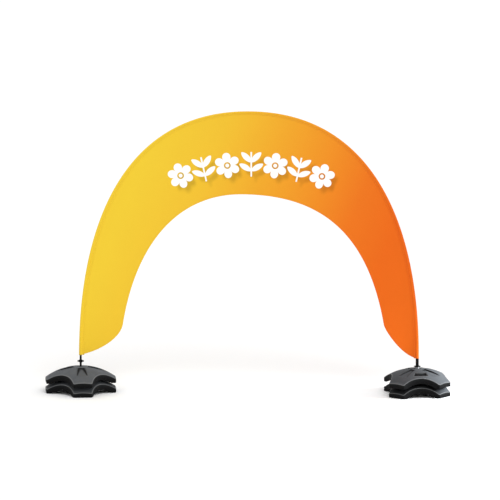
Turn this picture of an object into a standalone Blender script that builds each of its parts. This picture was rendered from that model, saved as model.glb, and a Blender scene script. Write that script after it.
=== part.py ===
"""Arch banner on a bow pole, held by two stacks of weighted base plates.

A flat stretched panel of cloth hangs inside a bent pole. A cloth sleeve along
the panel's outer edge holds the pole. Each foot of the pole stands on a
spindle that runs down through two stacked, arched, four-armed plates.

Metres, +Z up, +X to the right, front towards -Y. The arch stands in the plane
y = 0, and the origin is on the floor at the middle of the whole width.
"""

import math

import bmesh
import bpy
from mathutils import Matrix, Vector

# Fits
GAP = 0.0003

# Pole: its line is one smooth bow, and it tapers from its feet to its top
POLE_SPACING = 3.510
BOW_START_HEIGHT = 0.395
BOW_TOP_HEIGHT = 2.957
BOW_FOOT_HANDLE = 1.400
BOW_TOP_HANDLE = 1.270
BOW_STEPS = 24
POLE_FOOT_RADIUS = 0.016
POLE_TOP_RADIUS = 0.008

# Cloth: the panel, and the sleeve along its outer edge
PANEL_THICKNESS = 0.002
SLEEVE_SLACK = 0.0005
SLEEVE_CLOTH = 0.0015
SLEEVE_SIDES = 12
LEFT_SLEEVE_END = 0.389
RIGHT_SLEEVE_END = 0.372

# Inner hem of the panel, measured from the middle between the pole's feet.
# Handles are lengths, and leans are degrees away from plumb or level.
HEM_TOP = {"x": -0.075, "height": 2.093, "left_handle": 0.65, "right_handle": 0.85}
HEM_KNEES = {
    "left": {"x": -1.313, "height": 0.718, "lean": 9.2, "up_handle": 0.88, "down_handle": 0.15},
    "right": {"x": 1.405, "height": 0.729, "lean": 9.9, "up_handle": 0.95, "down_handle": 0.063},
}
HEM_CORNERS = {
    "left": {"height": 0.394, "lean": 13.4, "handle": 0.20},
    "right": {"height": 0.375, "lean": 14.2, "handle": 0.16},
}
HEM_ARCH_STEPS = 16
HEM_KNEE_STEPS = 7

# Base plate: an arched shell, cut to four arms with scalloped sides between them
ARM_REACH = 0.365
ARM_TIP_WIDTH = 0.195
SCALLOP_REACH = 0.270
SCALLOP_STEPS = 8
TIP_THICKNESS = 0.048
DOME_RISE = 0.118
FOOT_INNER_RADIUS = 0.335
BLANK_RADIUS = 0.385
SEAT_RADIUS = 0.072
SEAT_STEP = 0.0015
SEAT_SHOULDER = 0.003
HUB_RADIUS = 0.070
STACK_PITCH = 0.103
BORE_RADIUS = 0.0113
PLATE_TURN_STEPS = 40
DOME_STEPS = 6
ARCH_STEPS = 5

# A flat-floored flute is sunk into each arm, deepest near the hub
ARM_FLUTE = {
    "inner_reach": 0.080, "outer_reach": 0.262,
    "inner_width": 0.036, "outer_width": 0.110,
    "inner_depth": 0.007, "outer_depth": 0.001,
}
# One moulded recess lies between two arms
RECESS = {
    "inner_reach": 0.165, "outer_reach": 0.226,
    "inner_width": 0.112, "outer_width": 0.148,
    "inner_depth": 0.013, "outer_depth": 0.013,
}
RECESS_DIRECTION = -45
CUTTER_HEIGHT = 0.05

# How far each stack is turned, in degrees: an arm faces front on the left,
# and the recess faces front on the right
PLATE_TURNS = {"left": 186.5, "right": -36.0}

# Spindle and fittings at the foot of the pole
SPINDLE_RADIUS = 0.011
SPINDLE_TOP_HEIGHT = 0.510
SOCKET_OVERCUT = 0.01
SPINDLE_HEAD = {"radius": 0.032, "height": 0.006}
WASHERS = {
    "left": {"radius": 0.031, "height": 0.004},
    "right": {"radius": 0.023, "height": 0.014},
}
WASHER_CHAMFER = 0.001
TURNED_STEPS = 24
LEFT_COLLAR = {
    "above_stack": 0.057, "height": 0.027, "ring_radius": 0.018,
    "span": 0.068, "tip_height": 0.013, "thickness": 0.010, "wing_step": 0.002,
}
RIGHT_COLLAR = {"height": 0.015, "radius": 0.037, "neck_radius": 0.020}

COLLECTION_NAME = "arch_banner"
CUTTER_COLLECTION_NAME = "cutters"


def arm_extent(turn):
    """Half the width of a plate along X, for a turn in degrees."""
    angle = math.radians(turn % 90)
    near, far = min(angle, math.pi / 2 - angle), max(angle, math.pi / 2 - angle)
    return ARM_REACH * math.cos(near) + ARM_TIP_WIDTH / 2 * math.cos(far)


# The two stacks are turned differently, so the pole's feet sit a little off
# the middle of the whole width
MIDDLE_SHIFT = (arm_extent(PLATE_TURNS["left"]) - arm_extent(PLATE_TURNS["right"])) / 2
FOOT_X = {
    "left": MIDDLE_SHIFT - POLE_SPACING / 2,
    "right": MIDDLE_SHIFT + POLE_SPACING / 2,
}


def cap_height(radius, chord_radius):
    """Height of a spherical cap of DOME_RISE over its rim, at a radius."""
    ball = (chord_radius ** 2 + DOME_RISE ** 2) / (2 * DOME_RISE)
    return math.sqrt(ball ** 2 - radius ** 2) - (ball - DOME_RISE)


def dome_height(radius):
    return TIP_THICKNESS + cap_height(radius, ARM_REACH)


# The hub of one plate stands on the flat seat of the plate below it
SEAT_HEIGHT = dome_height(SEAT_RADIUS) + SEAT_STEP
STACK_HEIGHT = SEAT_HEIGHT + STACK_PITCH

# The pole's right foot stands on the collar, and that on the washer
WASHER_TOPS = {side: STACK_HEIGHT + GAP + sizes["height"] for side, sizes in WASHERS.items()}
RIGHT_COLLAR_TOP = WASHER_TOPS["right"] + GAP + RIGHT_COLLAR["height"]
RIGHT_FOOT_HEIGHT = RIGHT_COLLAR_TOP + GAP
LEFT_COLLAR_HEIGHT = STACK_HEIGHT + LEFT_COLLAR["above_stack"]


def clear_scene():
    for item in list(bpy.data.objects):
        bpy.data.objects.remove(item, do_unlink=True)


def make_collection(name):
    collection = bpy.data.collections.new(name)
    bpy.context.scene.collection.children.link(collection)
    return collection


def make_material(name, colour, roughness, metallic=0.0):
    material = bpy.data.materials.new(name)
    material.use_nodes = True
    shader = material.node_tree.nodes["Principled BSDF"]
    shader.inputs["Base Color"].default_value = (*colour, 1.0)
    shader.inputs["Roughness"].default_value = roughness
    shader.inputs["Metallic"].default_value = metallic
    material.diffuse_color = (*colour, 1.0)
    return material


def add_object(name, data, collection, material=None):
    item = bpy.data.objects.new(name, data)
    collection.objects.link(item)
    if material:
        data.materials.clear()
        data.materials.append(material)
    return item


def evaluated_mesh(item):
    """The mesh that an object's modifiers or curve settings make."""
    bpy.context.view_layer.update()
    graph = bpy.context.evaluated_depsgraph_get()
    return bpy.data.meshes.new_from_object(item.evaluated_get(graph), depsgraph=graph)


def curve_to_mesh(curve_item, name, collection, material=None):
    """Replace a curve object with a welded mesh object in the same place."""
    mesh = evaluated_mesh(curve_item)
    shape = bmesh.new()
    shape.from_mesh(mesh)
    bmesh.ops.remove_doubles(shape, verts=shape.verts, dist=0.00001)
    shape.to_mesh(mesh)
    shape.free()
    item = add_object(name, mesh, collection, material)
    item.matrix_world = curve_item.matrix_world
    bpy.data.objects.remove(curve_item, do_unlink=True)
    return item


def hide_cutter(cutter):
    cutter.hide_render = True
    cutter.display_type = "WIRE"


def add_boolean(item, cutter, operation):
    modifier = item.modifiers.new(operation.lower(), "BOOLEAN")
    modifier.operation = operation
    modifier.solver = "EXACT"
    modifier.object = cutter
    hide_cutter(cutter)


def shade_round(item, angle=40):
    item.data.shade_smooth()
    item.data.set_sharp_from_angle(angle=math.radians(angle))


def bezier(start, start_handle, end_handle, end, steps):
    """Points of one cubic curve, without its first point."""
    points = []
    for step in range(1, steps + 1):
        t = step / steps
        points.append(
            start * (1 - t) ** 3
            + start_handle * 3 * t * (1 - t) ** 2
            + end_handle * 3 * t * t * (1 - t)
            + end * t ** 3
        )
    return points


def bow_line():
    """Points (x, z) of the bow from its left start to its right start."""
    half = POLE_SPACING / 2
    start = Vector((-half, BOW_START_HEIGHT))
    top = Vector((0, BOW_TOP_HEIGHT))
    rising = [start] + bezier(
        start,
        start + Vector((0, BOW_FOOT_HANDLE)),
        top - Vector((BOW_TOP_HANDLE, 0)),
        top,
        BOW_STEPS,
    )
    falling = [Vector((-point.x, point.y)) for point in reversed(rising[:-1])]
    return [point + Vector((MIDDLE_SHIFT, 0)) for point in rising + falling]


def pole_radii(points):
    """The pole's radius at each point of the bow, by its distance from a foot."""
    lengths = [0.0]
    for before, after in zip(points, points[1:]):
        lengths.append(lengths[-1] + (after - before).length)
    half_length = lengths[-1] / 2
    taper = POLE_FOOT_RADIUS - POLE_TOP_RADIUS
    return [POLE_TOP_RADIUS + taper * abs(length / half_length - 1) for length in lengths]


def extend_to(points, radii, left_height, right_height):
    """Carry both ends of the bow straight down (or up) to the given heights."""
    left = Vector((points[0].x, left_height))
    right = Vector((points[-1].x, right_height))
    return [left] + points + [right], [radii[0]] + radii + [radii[-1]]


def make_tube_curve(name, points, radii, collection, caps):
    """A tube along points (x, z) of the plane y = 0, with its own radius at each."""
    data = bpy.data.curves.new(name, "CURVE")
    data.dimensions = "3D"
    data.bevel_depth = 1.0
    data.bevel_resolution = (SLEEVE_SIDES - 4) // 2
    data.use_fill_caps = caps
    spline = data.splines.new("POLY")
    spline.points.add(len(points) - 1)
    for target, point, radius in zip(spline.points, points, radii):
        target.co = (point.x, 0, point.y, 1)
        target.radius = radius
    return add_object(name, data, collection)


def make_pole(points, radii, collection, cutters, material):
    """The bent pole, with a socket in each foot for the top of a spindle."""
    line = points + [Vector((points[-1].x, RIGHT_FOOT_HEIGHT))]
    widths = radii + [radii[-1]]
    curve = make_tube_curve("pole_curve", line, widths, collection, caps=True)
    pole = curve_to_mesh(curve, "bow_pole", collection, material)
    for side, foot_height in (("left", BOW_START_HEIGHT), ("right", RIGHT_FOOT_HEIGHT)):
        bottom = foot_height - SOCKET_OVERCUT
        depth = SPINDLE_TOP_HEIGHT + GAP - bottom
        bpy.ops.mesh.primitive_cylinder_add(
            vertices=TURNED_STEPS,
            radius=BORE_RADIUS,
            depth=depth,
            location=(FOOT_X[side], 0, bottom + depth / 2),
        )
        socket = move_to_collection(f"{side}_socket_cutter", cutters)
        add_boolean(pole, socket, "DIFFERENCE")
    shade_round(pole)
    return pole


def move_to_collection(name, collection):
    """Name the object just added, and keep it only in the given collection."""
    item = bpy.context.active_object
    item.name = name
    for holder in list(item.users_collection):
        holder.objects.unlink(item)
    collection.objects.link(item)
    return item


def make_sleeve(points, radii, collection, material):
    """A tube of cloth round the pole, open at both ends."""
    line, widths = extend_to(points, radii, LEFT_SLEEVE_END, RIGHT_SLEEVE_END)
    bores = [width + SLEEVE_SLACK for width in widths]
    curve = make_tube_curve("sleeve_curve", line, bores, collection, caps=False)
    sleeve = curve_to_mesh(curve, "pole_sleeve", collection, material)
    wall = sleeve.modifiers.new("wall", "SOLIDIFY")
    wall.thickness = SLEEVE_CLOTH
    wall.offset = 1.0
    wall.use_even_offset = True
    shade_round(sleeve)
    return sleeve


def inward_offset(points, distances):
    """Points moved towards the inside of the arch, across its line."""
    moved = []
    last = len(points) - 1
    for index, (point, distance) in enumerate(zip(points, distances)):
        along = points[min(index + 1, last)] - points[max(index - 1, 0)]
        along.normalize()
        moved.append(point + Vector((along.y, -along.x)) * distance)
    return moved


def hem_half(side, corner_x):
    """Inner hem from its top, round the knee and down to the pole's foot."""
    sign = -1 if side == "left" else 1
    knee, corner = HEM_KNEES[side], HEM_CORNERS[side]
    top_point = Vector((HEM_TOP["x"] + MIDDLE_SHIFT, HEM_TOP["height"]))
    knee_point = Vector((knee["x"] + MIDDLE_SHIFT, knee["height"]))
    corner_point = Vector((corner_x, corner["height"]))
    lean, rise = math.radians(knee["lean"]), math.radians(corner["lean"])
    up = Vector((-sign * math.sin(lean), math.cos(lean)))
    back = Vector((-sign * math.cos(rise), math.sin(rise)))
    arch = bezier(
        top_point,
        top_point + Vector((sign * HEM_TOP[f"{side}_handle"], 0)),
        knee_point + up * knee["up_handle"],
        knee_point,
        HEM_ARCH_STEPS,
    )
    bottom = bezier(
        knee_point,
        knee_point - up * knee["down_handle"],
        corner_point + back * corner["handle"],
        corner_point,
        HEM_KNEE_STEPS,
    )
    return arch + bottom


def make_panel(points, radii, collection, material):
    """The flat stretched panel, from the sleeve to its own inner hem."""
    sleeve_wall = SLEEVE_CLOTH / math.cos(math.pi / SLEEVE_SIDES)
    reach = [radius + SLEEVE_SLACK + sleeve_wall + GAP for radius in radii]
    outer = inward_offset(points, reach)
    outer[0].y = HEM_CORNERS["left"]["height"]
    left_corner, right_corner = outer[0], Vector((outer[-1].x, HEM_CORNERS["right"]["height"]))
    left = hem_half("left", left_corner.x)
    right = hem_half("right", right_corner.x)
    hem_top = Vector((HEM_TOP["x"] + MIDDLE_SHIFT, HEM_TOP["height"]))
    outline = outer + list(reversed(right)) + [hem_top] + left[:-1]

    data = bpy.data.curves.new("panel", "CURVE")
    data.dimensions = "2D"
    data.fill_mode = "BOTH"
    data.extrude = PANEL_THICKNESS / 2
    spline = data.splines.new("POLY")
    spline.points.add(len(outline) - 1)
    for target, point in zip(spline.points, outline):
        target.co = (point.x, point.y, 0, 1)
    spline.use_cyclic_u = True
    panel = add_object("panel", data, collection, material)
    panel.rotation_euler = (math.radians(90), 0, 0)
    return panel


def turned_mesh(name, profile, steps):
    """A closed ring of (radius, height) points turned round Z."""
    mesh = bpy.data.meshes.new(name)
    edges = [(index, (index + 1) % len(profile)) for index in range(len(profile))]
    mesh.from_pydata([(radius, 0, height) for radius, height in profile], edges, [])
    item = add_object(name, mesh, bpy.context.scene.collection)
    screw = item.modifiers.new("turn", "SCREW")
    screw.steps = steps
    screw.render_steps = steps
    screw.use_merge_vertices = True
    screw.merge_threshold = 0.00001
    turned = evaluated_mesh(item)
    bpy.data.objects.remove(item, do_unlink=True)
    return turned


def plate_blank():
    """The arched shell before its arms are cut out, its feet at height 0."""
    shoulder = SEAT_RADIUS + SEAT_SHOULDER
    profile = [(BORE_RADIUS, SEAT_HEIGHT), (SEAT_RADIUS, SEAT_HEIGHT)]
    for step in range(DOME_STEPS + 1):
        radius = shoulder + (BLANK_RADIUS - shoulder) * step / DOME_STEPS
        profile.append((radius, dome_height(radius)))
    profile.append((BLANK_RADIUS, 0))
    for step in range(ARCH_STEPS + 1):
        radius = FOOT_INNER_RADIUS + (HUB_RADIUS - FOOT_INNER_RADIUS) * step / ARCH_STEPS
        profile.append((radius, cap_height(radius, FOOT_INNER_RADIUS)))
    hub_bottom = SEAT_HEIGHT - STACK_PITCH + GAP
    profile += [(HUB_RADIUS, hub_bottom), (BORE_RADIUS, hub_bottom)]
    return turned_mesh("plate_blank", profile, PLATE_TURN_STEPS)


def plate_outline():
    """Points (x, y) of the four arms and the scallops between them."""
    half = ARM_TIP_WIDTH / 2
    start, end = Vector((ARM_REACH, half)), Vector((half, ARM_REACH))
    middle = (start + end) / 2
    half_chord = (end - start).length / 2
    depth = middle.length - SCALLOP_REACH
    arc_radius = (half_chord ** 2 + depth ** 2) / (2 * depth)
    outward = middle.normalized()
    across = (end - start).normalized()
    centre = outward * (SCALLOP_REACH + arc_radius)
    spread = math.asin(half_chord / arc_radius)
    quarter = []
    for step in range(SCALLOP_STEPS + 1):
        angle = spread * (2 * step / SCALLOP_STEPS - 1)
        quarter.append(
            centre - outward * arc_radius * math.cos(angle) + across * arc_radius * math.sin(angle)
        )
    outline = []
    for turn in range(4):
        spin = Matrix.Rotation(math.radians(90 * turn), 2)
        outline += [spin @ point for point in quarter]
    return outline


def prism_cutter(name, outline, depth, collection):
    """A closed outline (x, y) pulled out by half the depth to each side."""
    data = bpy.data.curves.new(name, "CURVE")
    data.dimensions = "2D"
    data.fill_mode = "BOTH"
    data.extrude = depth / 2
    spline = data.splines.new("POLY")
    spline.points.add(len(outline) - 1)
    for target, point in zip(spline.points, outline):
        target.co = (point[0], point[1], 0, 1)
    spline.use_cyclic_u = True
    return curve_to_mesh(add_object(name, data, collection), name, collection)


def sunken_cutter(name, sizes, direction, cutters):
    """A tapered prism over the dome, its floor below the dome by the stated depths."""
    inner, outer = sizes["inner_reach"], sizes["outer_reach"]
    inner_floor = dome_height(inner) - sizes["inner_depth"]
    outer_floor = dome_height(outer) - sizes["outer_depth"]
    slope = math.atan2(inner_floor - outer_floor, outer - inner)
    half_length = (outer - inner) / 2 / math.cos(slope)
    outline = [
        (-half_length, -sizes["inner_width"] / 2),
        (half_length, -sizes["outer_width"] / 2),
        (half_length, sizes["outer_width"] / 2),
        (-half_length, sizes["inner_width"] / 2),
    ]
    cutter = prism_cutter(name, outline, CUTTER_HEIGHT, cutters)
    cutter.matrix_world = (
        Matrix.Rotation(math.radians(direction), 4, "Z")
        @ Matrix.Translation(((inner + outer) / 2, 0, (inner_floor + outer_floor) / 2))
        @ Matrix.Rotation(slope, 4, "Y")
        @ Matrix.Translation((0, 0, CUTTER_HEIGHT / 2))
    )
    return cutter


def plate_mesh(cutters):
    """One finished plate, its feet at height 0 and its arms along X and Y."""
    blank = add_object("plate_blank", plate_blank(), cutters)
    arms = prism_cutter("arm_outline", plate_outline(), 1.0, cutters)
    add_boolean(blank, arms, "INTERSECT")
    for arm in range(4):
        flute = sunken_cutter(f"flute_{arm}", ARM_FLUTE, 90 * arm, cutters)
        add_boolean(blank, flute, "DIFFERENCE")
    recess = sunken_cutter("recess", RECESS, RECESS_DIRECTION, cutters)
    add_boolean(blank, recess, "DIFFERENCE")
    mesh = evaluated_mesh(blank)
    mesh.name = "base_plate"
    hide_cutter(blank)
    return mesh


def make_plates(collection, cutters, material):
    """Two stacked plates at each foot of the pole."""
    mesh = plate_mesh(cutters)
    for side, turn in PLATE_TURNS.items():
        for level, name in enumerate(("lower", "upper")):
            plate = add_object(f"{side}_{name}_plate", mesh, collection, material)
            plate.location = (FOOT_X[side], 0, level * STACK_PITCH)
            plate.rotation_euler = (0, 0, math.radians(turn))
    mesh.shade_smooth()
    mesh.set_sharp_from_angle(angle=math.radians(30))


def make_spindle(side, collection, material):
    """A headed rod, up through both plates and into the pole's foot."""
    head_top = SEAT_HEIGHT - STACK_PITCH
    head_bottom = head_top - SPINDLE_HEAD["height"]
    profile = [
        (0, SPINDLE_TOP_HEIGHT),
        (SPINDLE_RADIUS, SPINDLE_TOP_HEIGHT),
        (SPINDLE_RADIUS, head_top),
        (SPINDLE_HEAD["radius"], head_top),
        (SPINDLE_HEAD["radius"], head_bottom),
        (0, head_bottom),
    ]
    mesh = bpy.data.meshes.new(f"{side}_spindle")
    edges = [(index, index + 1) for index in range(len(profile) - 1)]
    mesh.from_pydata([(radius, 0, height) for radius, height in profile], edges, [])
    spindle = add_object(f"{side}_spindle", mesh, collection, material)
    spindle.location = (FOOT_X[side], 0, 0)
    screw = spindle.modifiers.new("turn", "SCREW")
    screw.steps = TURNED_STEPS
    screw.render_steps = TURNED_STEPS
    screw.use_merge_vertices = True
    screw.merge_threshold = 0.00001
    return spindle


def make_ring(name, side, profile, collection, material):
    """A turned ring round a spindle."""
    ring = add_object(name, turned_mesh(name, profile, TURNED_STEPS), collection, material)
    ring.location = (FOOT_X[side], 0, 0)
    shade_round(ring)
    return ring


def make_washer(side, collection, material):
    radius, top = WASHERS[side]["radius"], WASHER_TOPS[side]
    profile = [
        (BORE_RADIUS, top),
        (radius - WASHER_CHAMFER, top),
        (radius, top - WASHER_CHAMFER),
        (radius, STACK_HEIGHT + GAP),
        (BORE_RADIUS, STACK_HEIGHT + GAP),
    ]
    return make_ring(f"{side}_washer", side, profile, collection, material)


def make_right_collar(collection, material):
    """A turned flange that carries the pole's right foot."""
    height, radius, neck = RIGHT_COLLAR["height"], RIGHT_COLLAR["radius"], RIGHT_COLLAR["neck_radius"]
    bottom = RIGHT_COLLAR_TOP - height
    profile = [
        (BORE_RADIUS, RIGHT_COLLAR_TOP),
        (neck, RIGHT_COLLAR_TOP),
        (radius, bottom + height * 0.60),
        (radius, bottom + height * 0.40),
        (neck, bottom),
        (BORE_RADIUS, bottom),
    ]
    return make_ring("right_collar", "right", profile, collection, material)


def make_left_collar(collection, cutters, material):
    """A ring with two flat wings, clamped on the left spindle."""
    centre = (FOOT_X["left"], 0, LEFT_COLLAR_HEIGHT)
    bpy.ops.mesh.primitive_cylinder_add(
        vertices=TURNED_STEPS,
        radius=LEFT_COLLAR["ring_radius"],
        depth=LEFT_COLLAR["height"],
        location=centre,
    )
    collar = move_to_collection("left_collar", collection)
    collar.data.materials.append(material)

    half_span, half_tip = LEFT_COLLAR["span"] / 2, LEFT_COLLAR["tip_height"] / 2
    root = LEFT_COLLAR["height"] / 2 - LEFT_COLLAR["wing_step"]
    outline = [
        (-half_span, -half_tip), (0, -root), (half_span, -half_tip),
        (half_span, half_tip), (0, root), (-half_span, half_tip),
    ]
    wings = prism_cutter("collar_wings", outline, LEFT_COLLAR["thickness"], cutters)
    wings.location = centre
    wings.rotation_euler = (math.radians(90), 0, 0)
    add_boolean(collar, wings, "UNION")

    bpy.ops.mesh.primitive_cylinder_add(
        vertices=TURNED_STEPS,
        radius=BORE_RADIUS,
        depth=LEFT_COLLAR["height"] * 2,
        location=centre,
    )
    add_boolean(collar, move_to_collection("collar_bore", cutters), "DIFFERENCE")
    return collar


def build():
    clear_scene()
    collection = make_collection(COLLECTION_NAME)
    cutters = make_collection(CUTTER_COLLECTION_NAME)
    cloth = make_material("cloth", (0.92, 0.43, 0.035), 0.85)
    sleeve_cloth = make_material("sleeve_cloth", (0.90, 0.40, 0.035), 0.85)
    pole_black = make_material("pole_black", (0.012, 0.012, 0.012), 0.40)
    plate_black = make_material("plate_black", (0.045, 0.046, 0.047), 0.55)
    fitting_black = make_material("fitting_black", (0.015, 0.015, 0.015), 0.45)
    spindle_black = make_material("spindle_black", (0.02, 0.02, 0.02), 0.40, 0.6)
    washer_steel = make_material("washer_steel", (0.55, 0.55, 0.54), 0.35, 1.0)

    points = bow_line()
    radii = pole_radii(points)
    make_pole(points, radii, collection, cutters, pole_black)
    make_sleeve(points, radii, collection, sleeve_cloth)
    make_panel(points, radii, collection, cloth)
    make_plates(collection, cutters, plate_black)
    for side in FOOT_X:
        make_spindle(side, collection, spindle_black)
        make_washer(side, collection, washer_steel)
    make_left_collar(collection, cutters, fitting_black)
    make_right_collar(collection, fitting_black)


build()
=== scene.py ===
# %% [markdown]
# # An arch banner on a bent pole
# This lesson dresses a measured model of an entrance arch: a flat panel of printed cloth, stretched inside
# a bent pole by a sewn pocket, on two stacks of water-weighted base plates. The measured model is loaded as
# a frame that never moves. Every visible piece is built around it, in metres, with the floor at height
# zero.

# %% Load the frame
import math
from contextlib import contextmanager
from functools import partialmethod

import bmesh
import bpy
import numpy as np
from mathutils import Matrix, Vector


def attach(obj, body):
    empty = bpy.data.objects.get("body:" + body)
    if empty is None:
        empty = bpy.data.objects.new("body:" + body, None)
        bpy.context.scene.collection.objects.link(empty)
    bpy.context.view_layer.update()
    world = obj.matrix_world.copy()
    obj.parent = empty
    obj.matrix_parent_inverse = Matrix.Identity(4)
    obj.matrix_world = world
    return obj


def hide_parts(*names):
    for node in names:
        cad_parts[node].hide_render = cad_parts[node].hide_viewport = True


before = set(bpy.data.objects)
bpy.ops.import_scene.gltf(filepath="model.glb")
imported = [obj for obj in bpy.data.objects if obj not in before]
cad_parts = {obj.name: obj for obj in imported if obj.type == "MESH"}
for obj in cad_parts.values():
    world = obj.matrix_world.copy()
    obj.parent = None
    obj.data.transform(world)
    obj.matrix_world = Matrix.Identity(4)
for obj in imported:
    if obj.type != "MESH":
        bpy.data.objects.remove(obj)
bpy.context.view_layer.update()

# %% [markdown]
# ## The sizes that carry over
# The pole's line is one smooth bow: a cubic curve from each foot to the top. The cloth, its pocket and its
# hem all follow that line, so the numbers that shape it are stated once, here, and the pieces read them.

# %% Sizes of the bow and the cloth
GAP = 0.0003
POLE_SPACING = 3.510
BOW_START_HEIGHT = 0.395
BOW_TOP_HEIGHT = 2.957
BOW_FOOT_HANDLE = 1.400
BOW_TOP_HANDLE = 1.270
POLE_FOOT_RADIUS = 0.016
POLE_TOP_RADIUS = 0.008
SLEEVE_SLACK = 0.0005
SOLID_POCKET = {"cloth": 0.0015, "sides": 12}
POCKET_REACH = SOLID_POCKET["cloth"] / math.cos(math.pi / SOLID_POCKET["sides"])
LEFT_SLEEVE_END = 0.389
RIGHT_SLEEVE_END = 0.372
HEM_TOP = {"x": -0.075, "height": 2.093, "left_handle": 0.65, "right_handle": 0.85}
HEM_KNEES = {
    "left": {"x": -1.313, "height": 0.718, "lean": 9.2, "up_handle": 0.88, "down_handle": 0.15},
    "right": {"x": 1.405, "height": 0.729, "lean": 9.9, "up_handle": 0.95, "down_handle": 0.063},
}
HEM_CORNERS = {
    "left": {"height": 0.394, "lean": 13.4, "handle": 0.20},
    "right": {"height": 0.375, "lean": 14.2, "handle": 0.16},
}

# %% Sizes of the base plates
ARM_REACH = 0.365
ARM_TIP_WIDTH = 0.195
SCALLOP_REACH = 0.270
TIP_THICKNESS = 0.048
DOME_RISE = 0.118
FOOT_INNER_RADIUS = 0.335
SEAT_RADIUS = 0.072
SEAT_STEP = 0.0015
SEAT_SHOULDER = 0.003
HUB_RADIUS = 0.070
STACK_PITCH = 0.103
BORE_RADIUS = 0.0113
PLATE_TURNS = {"left": 186.5, "right": -36.0}


def arm_extent(turn):
    """Half the width of a plate along X, for a turn in degrees."""
    angle = math.radians(turn % 90)
    near, far = min(angle, math.pi / 2 - angle), max(angle, math.pi / 2 - angle)
    return ARM_REACH * math.cos(near) + ARM_TIP_WIDTH / 2 * math.cos(far)


MIDDLE_SHIFT = (arm_extent(PLATE_TURNS["left"]) - arm_extent(PLATE_TURNS["right"])) / 2
FOOT_X = {"left": MIDDLE_SHIFT - POLE_SPACING / 2, "right": MIDDLE_SHIFT + POLE_SPACING / 2}
print("pole feet at x =", {side: round(x, 4) for side, x in FOOT_X.items()})

# %% [markdown]
# ## Camera
# The photograph is a product picture taken from far off, about ten degrees above level and two degrees to
# the right of square on. A long lens gives the same nearly parallel view. The camera comes first, so that
# every piece can be judged in the frame of the photograph from its first render.

# %% Set the camera
ELEVATION = math.radians(9.6)
YAW = math.radians(1.9)
CAMERA_DISTANCE = 90.0
CAMERA_REACH = 600.0
FRAME_WIDTH = 5.216
SENSOR = 36.0
FRAME_OFFSET = {"right": 0.0120, "up": 1.4860}


def place_object(name, data):
    """A new object of the scene, at the origin."""
    item = bpy.data.objects.new(name, data)
    bpy.context.scene.collection.objects.link(item)
    return item


towards_camera = Vector((
    math.sin(YAW) * math.cos(ELEVATION),
    -math.cos(YAW) * math.cos(ELEVATION),
    math.sin(ELEVATION),
))
camera_right = Vector((math.cos(YAW), math.sin(YAW), 0))
camera_up = towards_camera.cross(camera_right)
target = (
    Vector((MIDDLE_SHIFT, 0, 0))
    + camera_right * FRAME_OFFSET["right"]
    + camera_up * FRAME_OFFSET["up"]
)

camera_data = bpy.data.cameras.new("camera")
camera_data.sensor_width = SENSOR
camera_data.lens = SENSOR * CAMERA_DISTANCE / FRAME_WIDTH
camera_data.clip_end = CAMERA_REACH
camera = place_object("camera", camera_data)
camera.location = target + towards_camera * CAMERA_DISTANCE
camera.rotation_euler = (-towards_camera).to_track_quat("-Z", "Y").to_euler()
bpy.context.scene.camera = camera
bpy.context.scene.view_settings.view_transform = "Standard"
print("lens", round(camera_data.lens, 1), "mm, at", camera.location[:])

# %% [markdown]
# ## Light and floor
# A bright, even surround is what a white studio sweep gives. One broad sun from the upper front adds the
# soft direction that shows the shape of the black plates, and a small cool panel lamp beside the right base
# puts the brighter light on its outer arms. Its spread is narrow, so that it leaves the cloth alone. The
# floor is a very large pale disc, because at this low angle the camera sees floor all the way up the
# picture.

# %% Set the light
SURROUND_STRENGTH = 0.88
KEY_STRENGTH = 0.90
KEY_ANGLE = math.radians(30)
KEY_FROM = Vector((0.40, -0.90, 1.15))
SIDE_POWER = 8.0
SIDE_SPREAD = math.radians(48)
SIDE_SIZE = (0.9, 0.6)
SIDE_COLOUR = (0.90, 0.96, 1.0)
SIDE_PLACE = Vector((FOOT_X["right"] + 1.75, -0.12, 0.80))
SIDE_AIM = Vector((FOOT_X["right"] + 0.15, -0.05, 0.16))


def add_lamp(name, kind, strength, comes_from, **settings):
    """A lamp whose light comes from a direction."""
    lamp_data = bpy.data.lights.new(name, kind)
    lamp_data.energy = strength
    for key, value in settings.items():
        setattr(lamp_data, key, value)
    lamp = place_object(name, lamp_data)
    lamp.rotation_euler = comes_from.to_track_quat("Z", "Y").to_euler()
    return lamp


world = bpy.data.worlds.new("studio")
world.use_nodes = True
background = world.node_tree.nodes["Background"]
background.inputs["Color"].default_value = (1.0, 1.0, 1.0, 1.0)
background.inputs["Strength"].default_value = SURROUND_STRENGTH
bpy.context.scene.world = world

add_lamp("key", "SUN", KEY_STRENGTH, KEY_FROM, angle=KEY_ANGLE)
side_lamp = add_lamp(
    "side", "AREA", SIDE_POWER, SIDE_PLACE - SIDE_AIM, shape="RECTANGLE",
    size=SIDE_SIZE[0], size_y=SIDE_SIZE[1], spread=SIDE_SPREAD, color=SIDE_COLOUR,
)
side_lamp.location = SIDE_PLACE
print("key", KEY_STRENGTH, "side", SIDE_POWER, "W")

# %% [markdown]
# ## A small language for node trees
# Materials here are sums and masks of many small fields, which is long-winded as loose nodes. One small
# class wraps a number socket, so that an ordinary Python expression adds its Math nodes. Everything else
# goes through one method that takes the kind of node, its settings and the values or links of its sockets.
# The Geometry Nodes further down are built with the same two.


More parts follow.
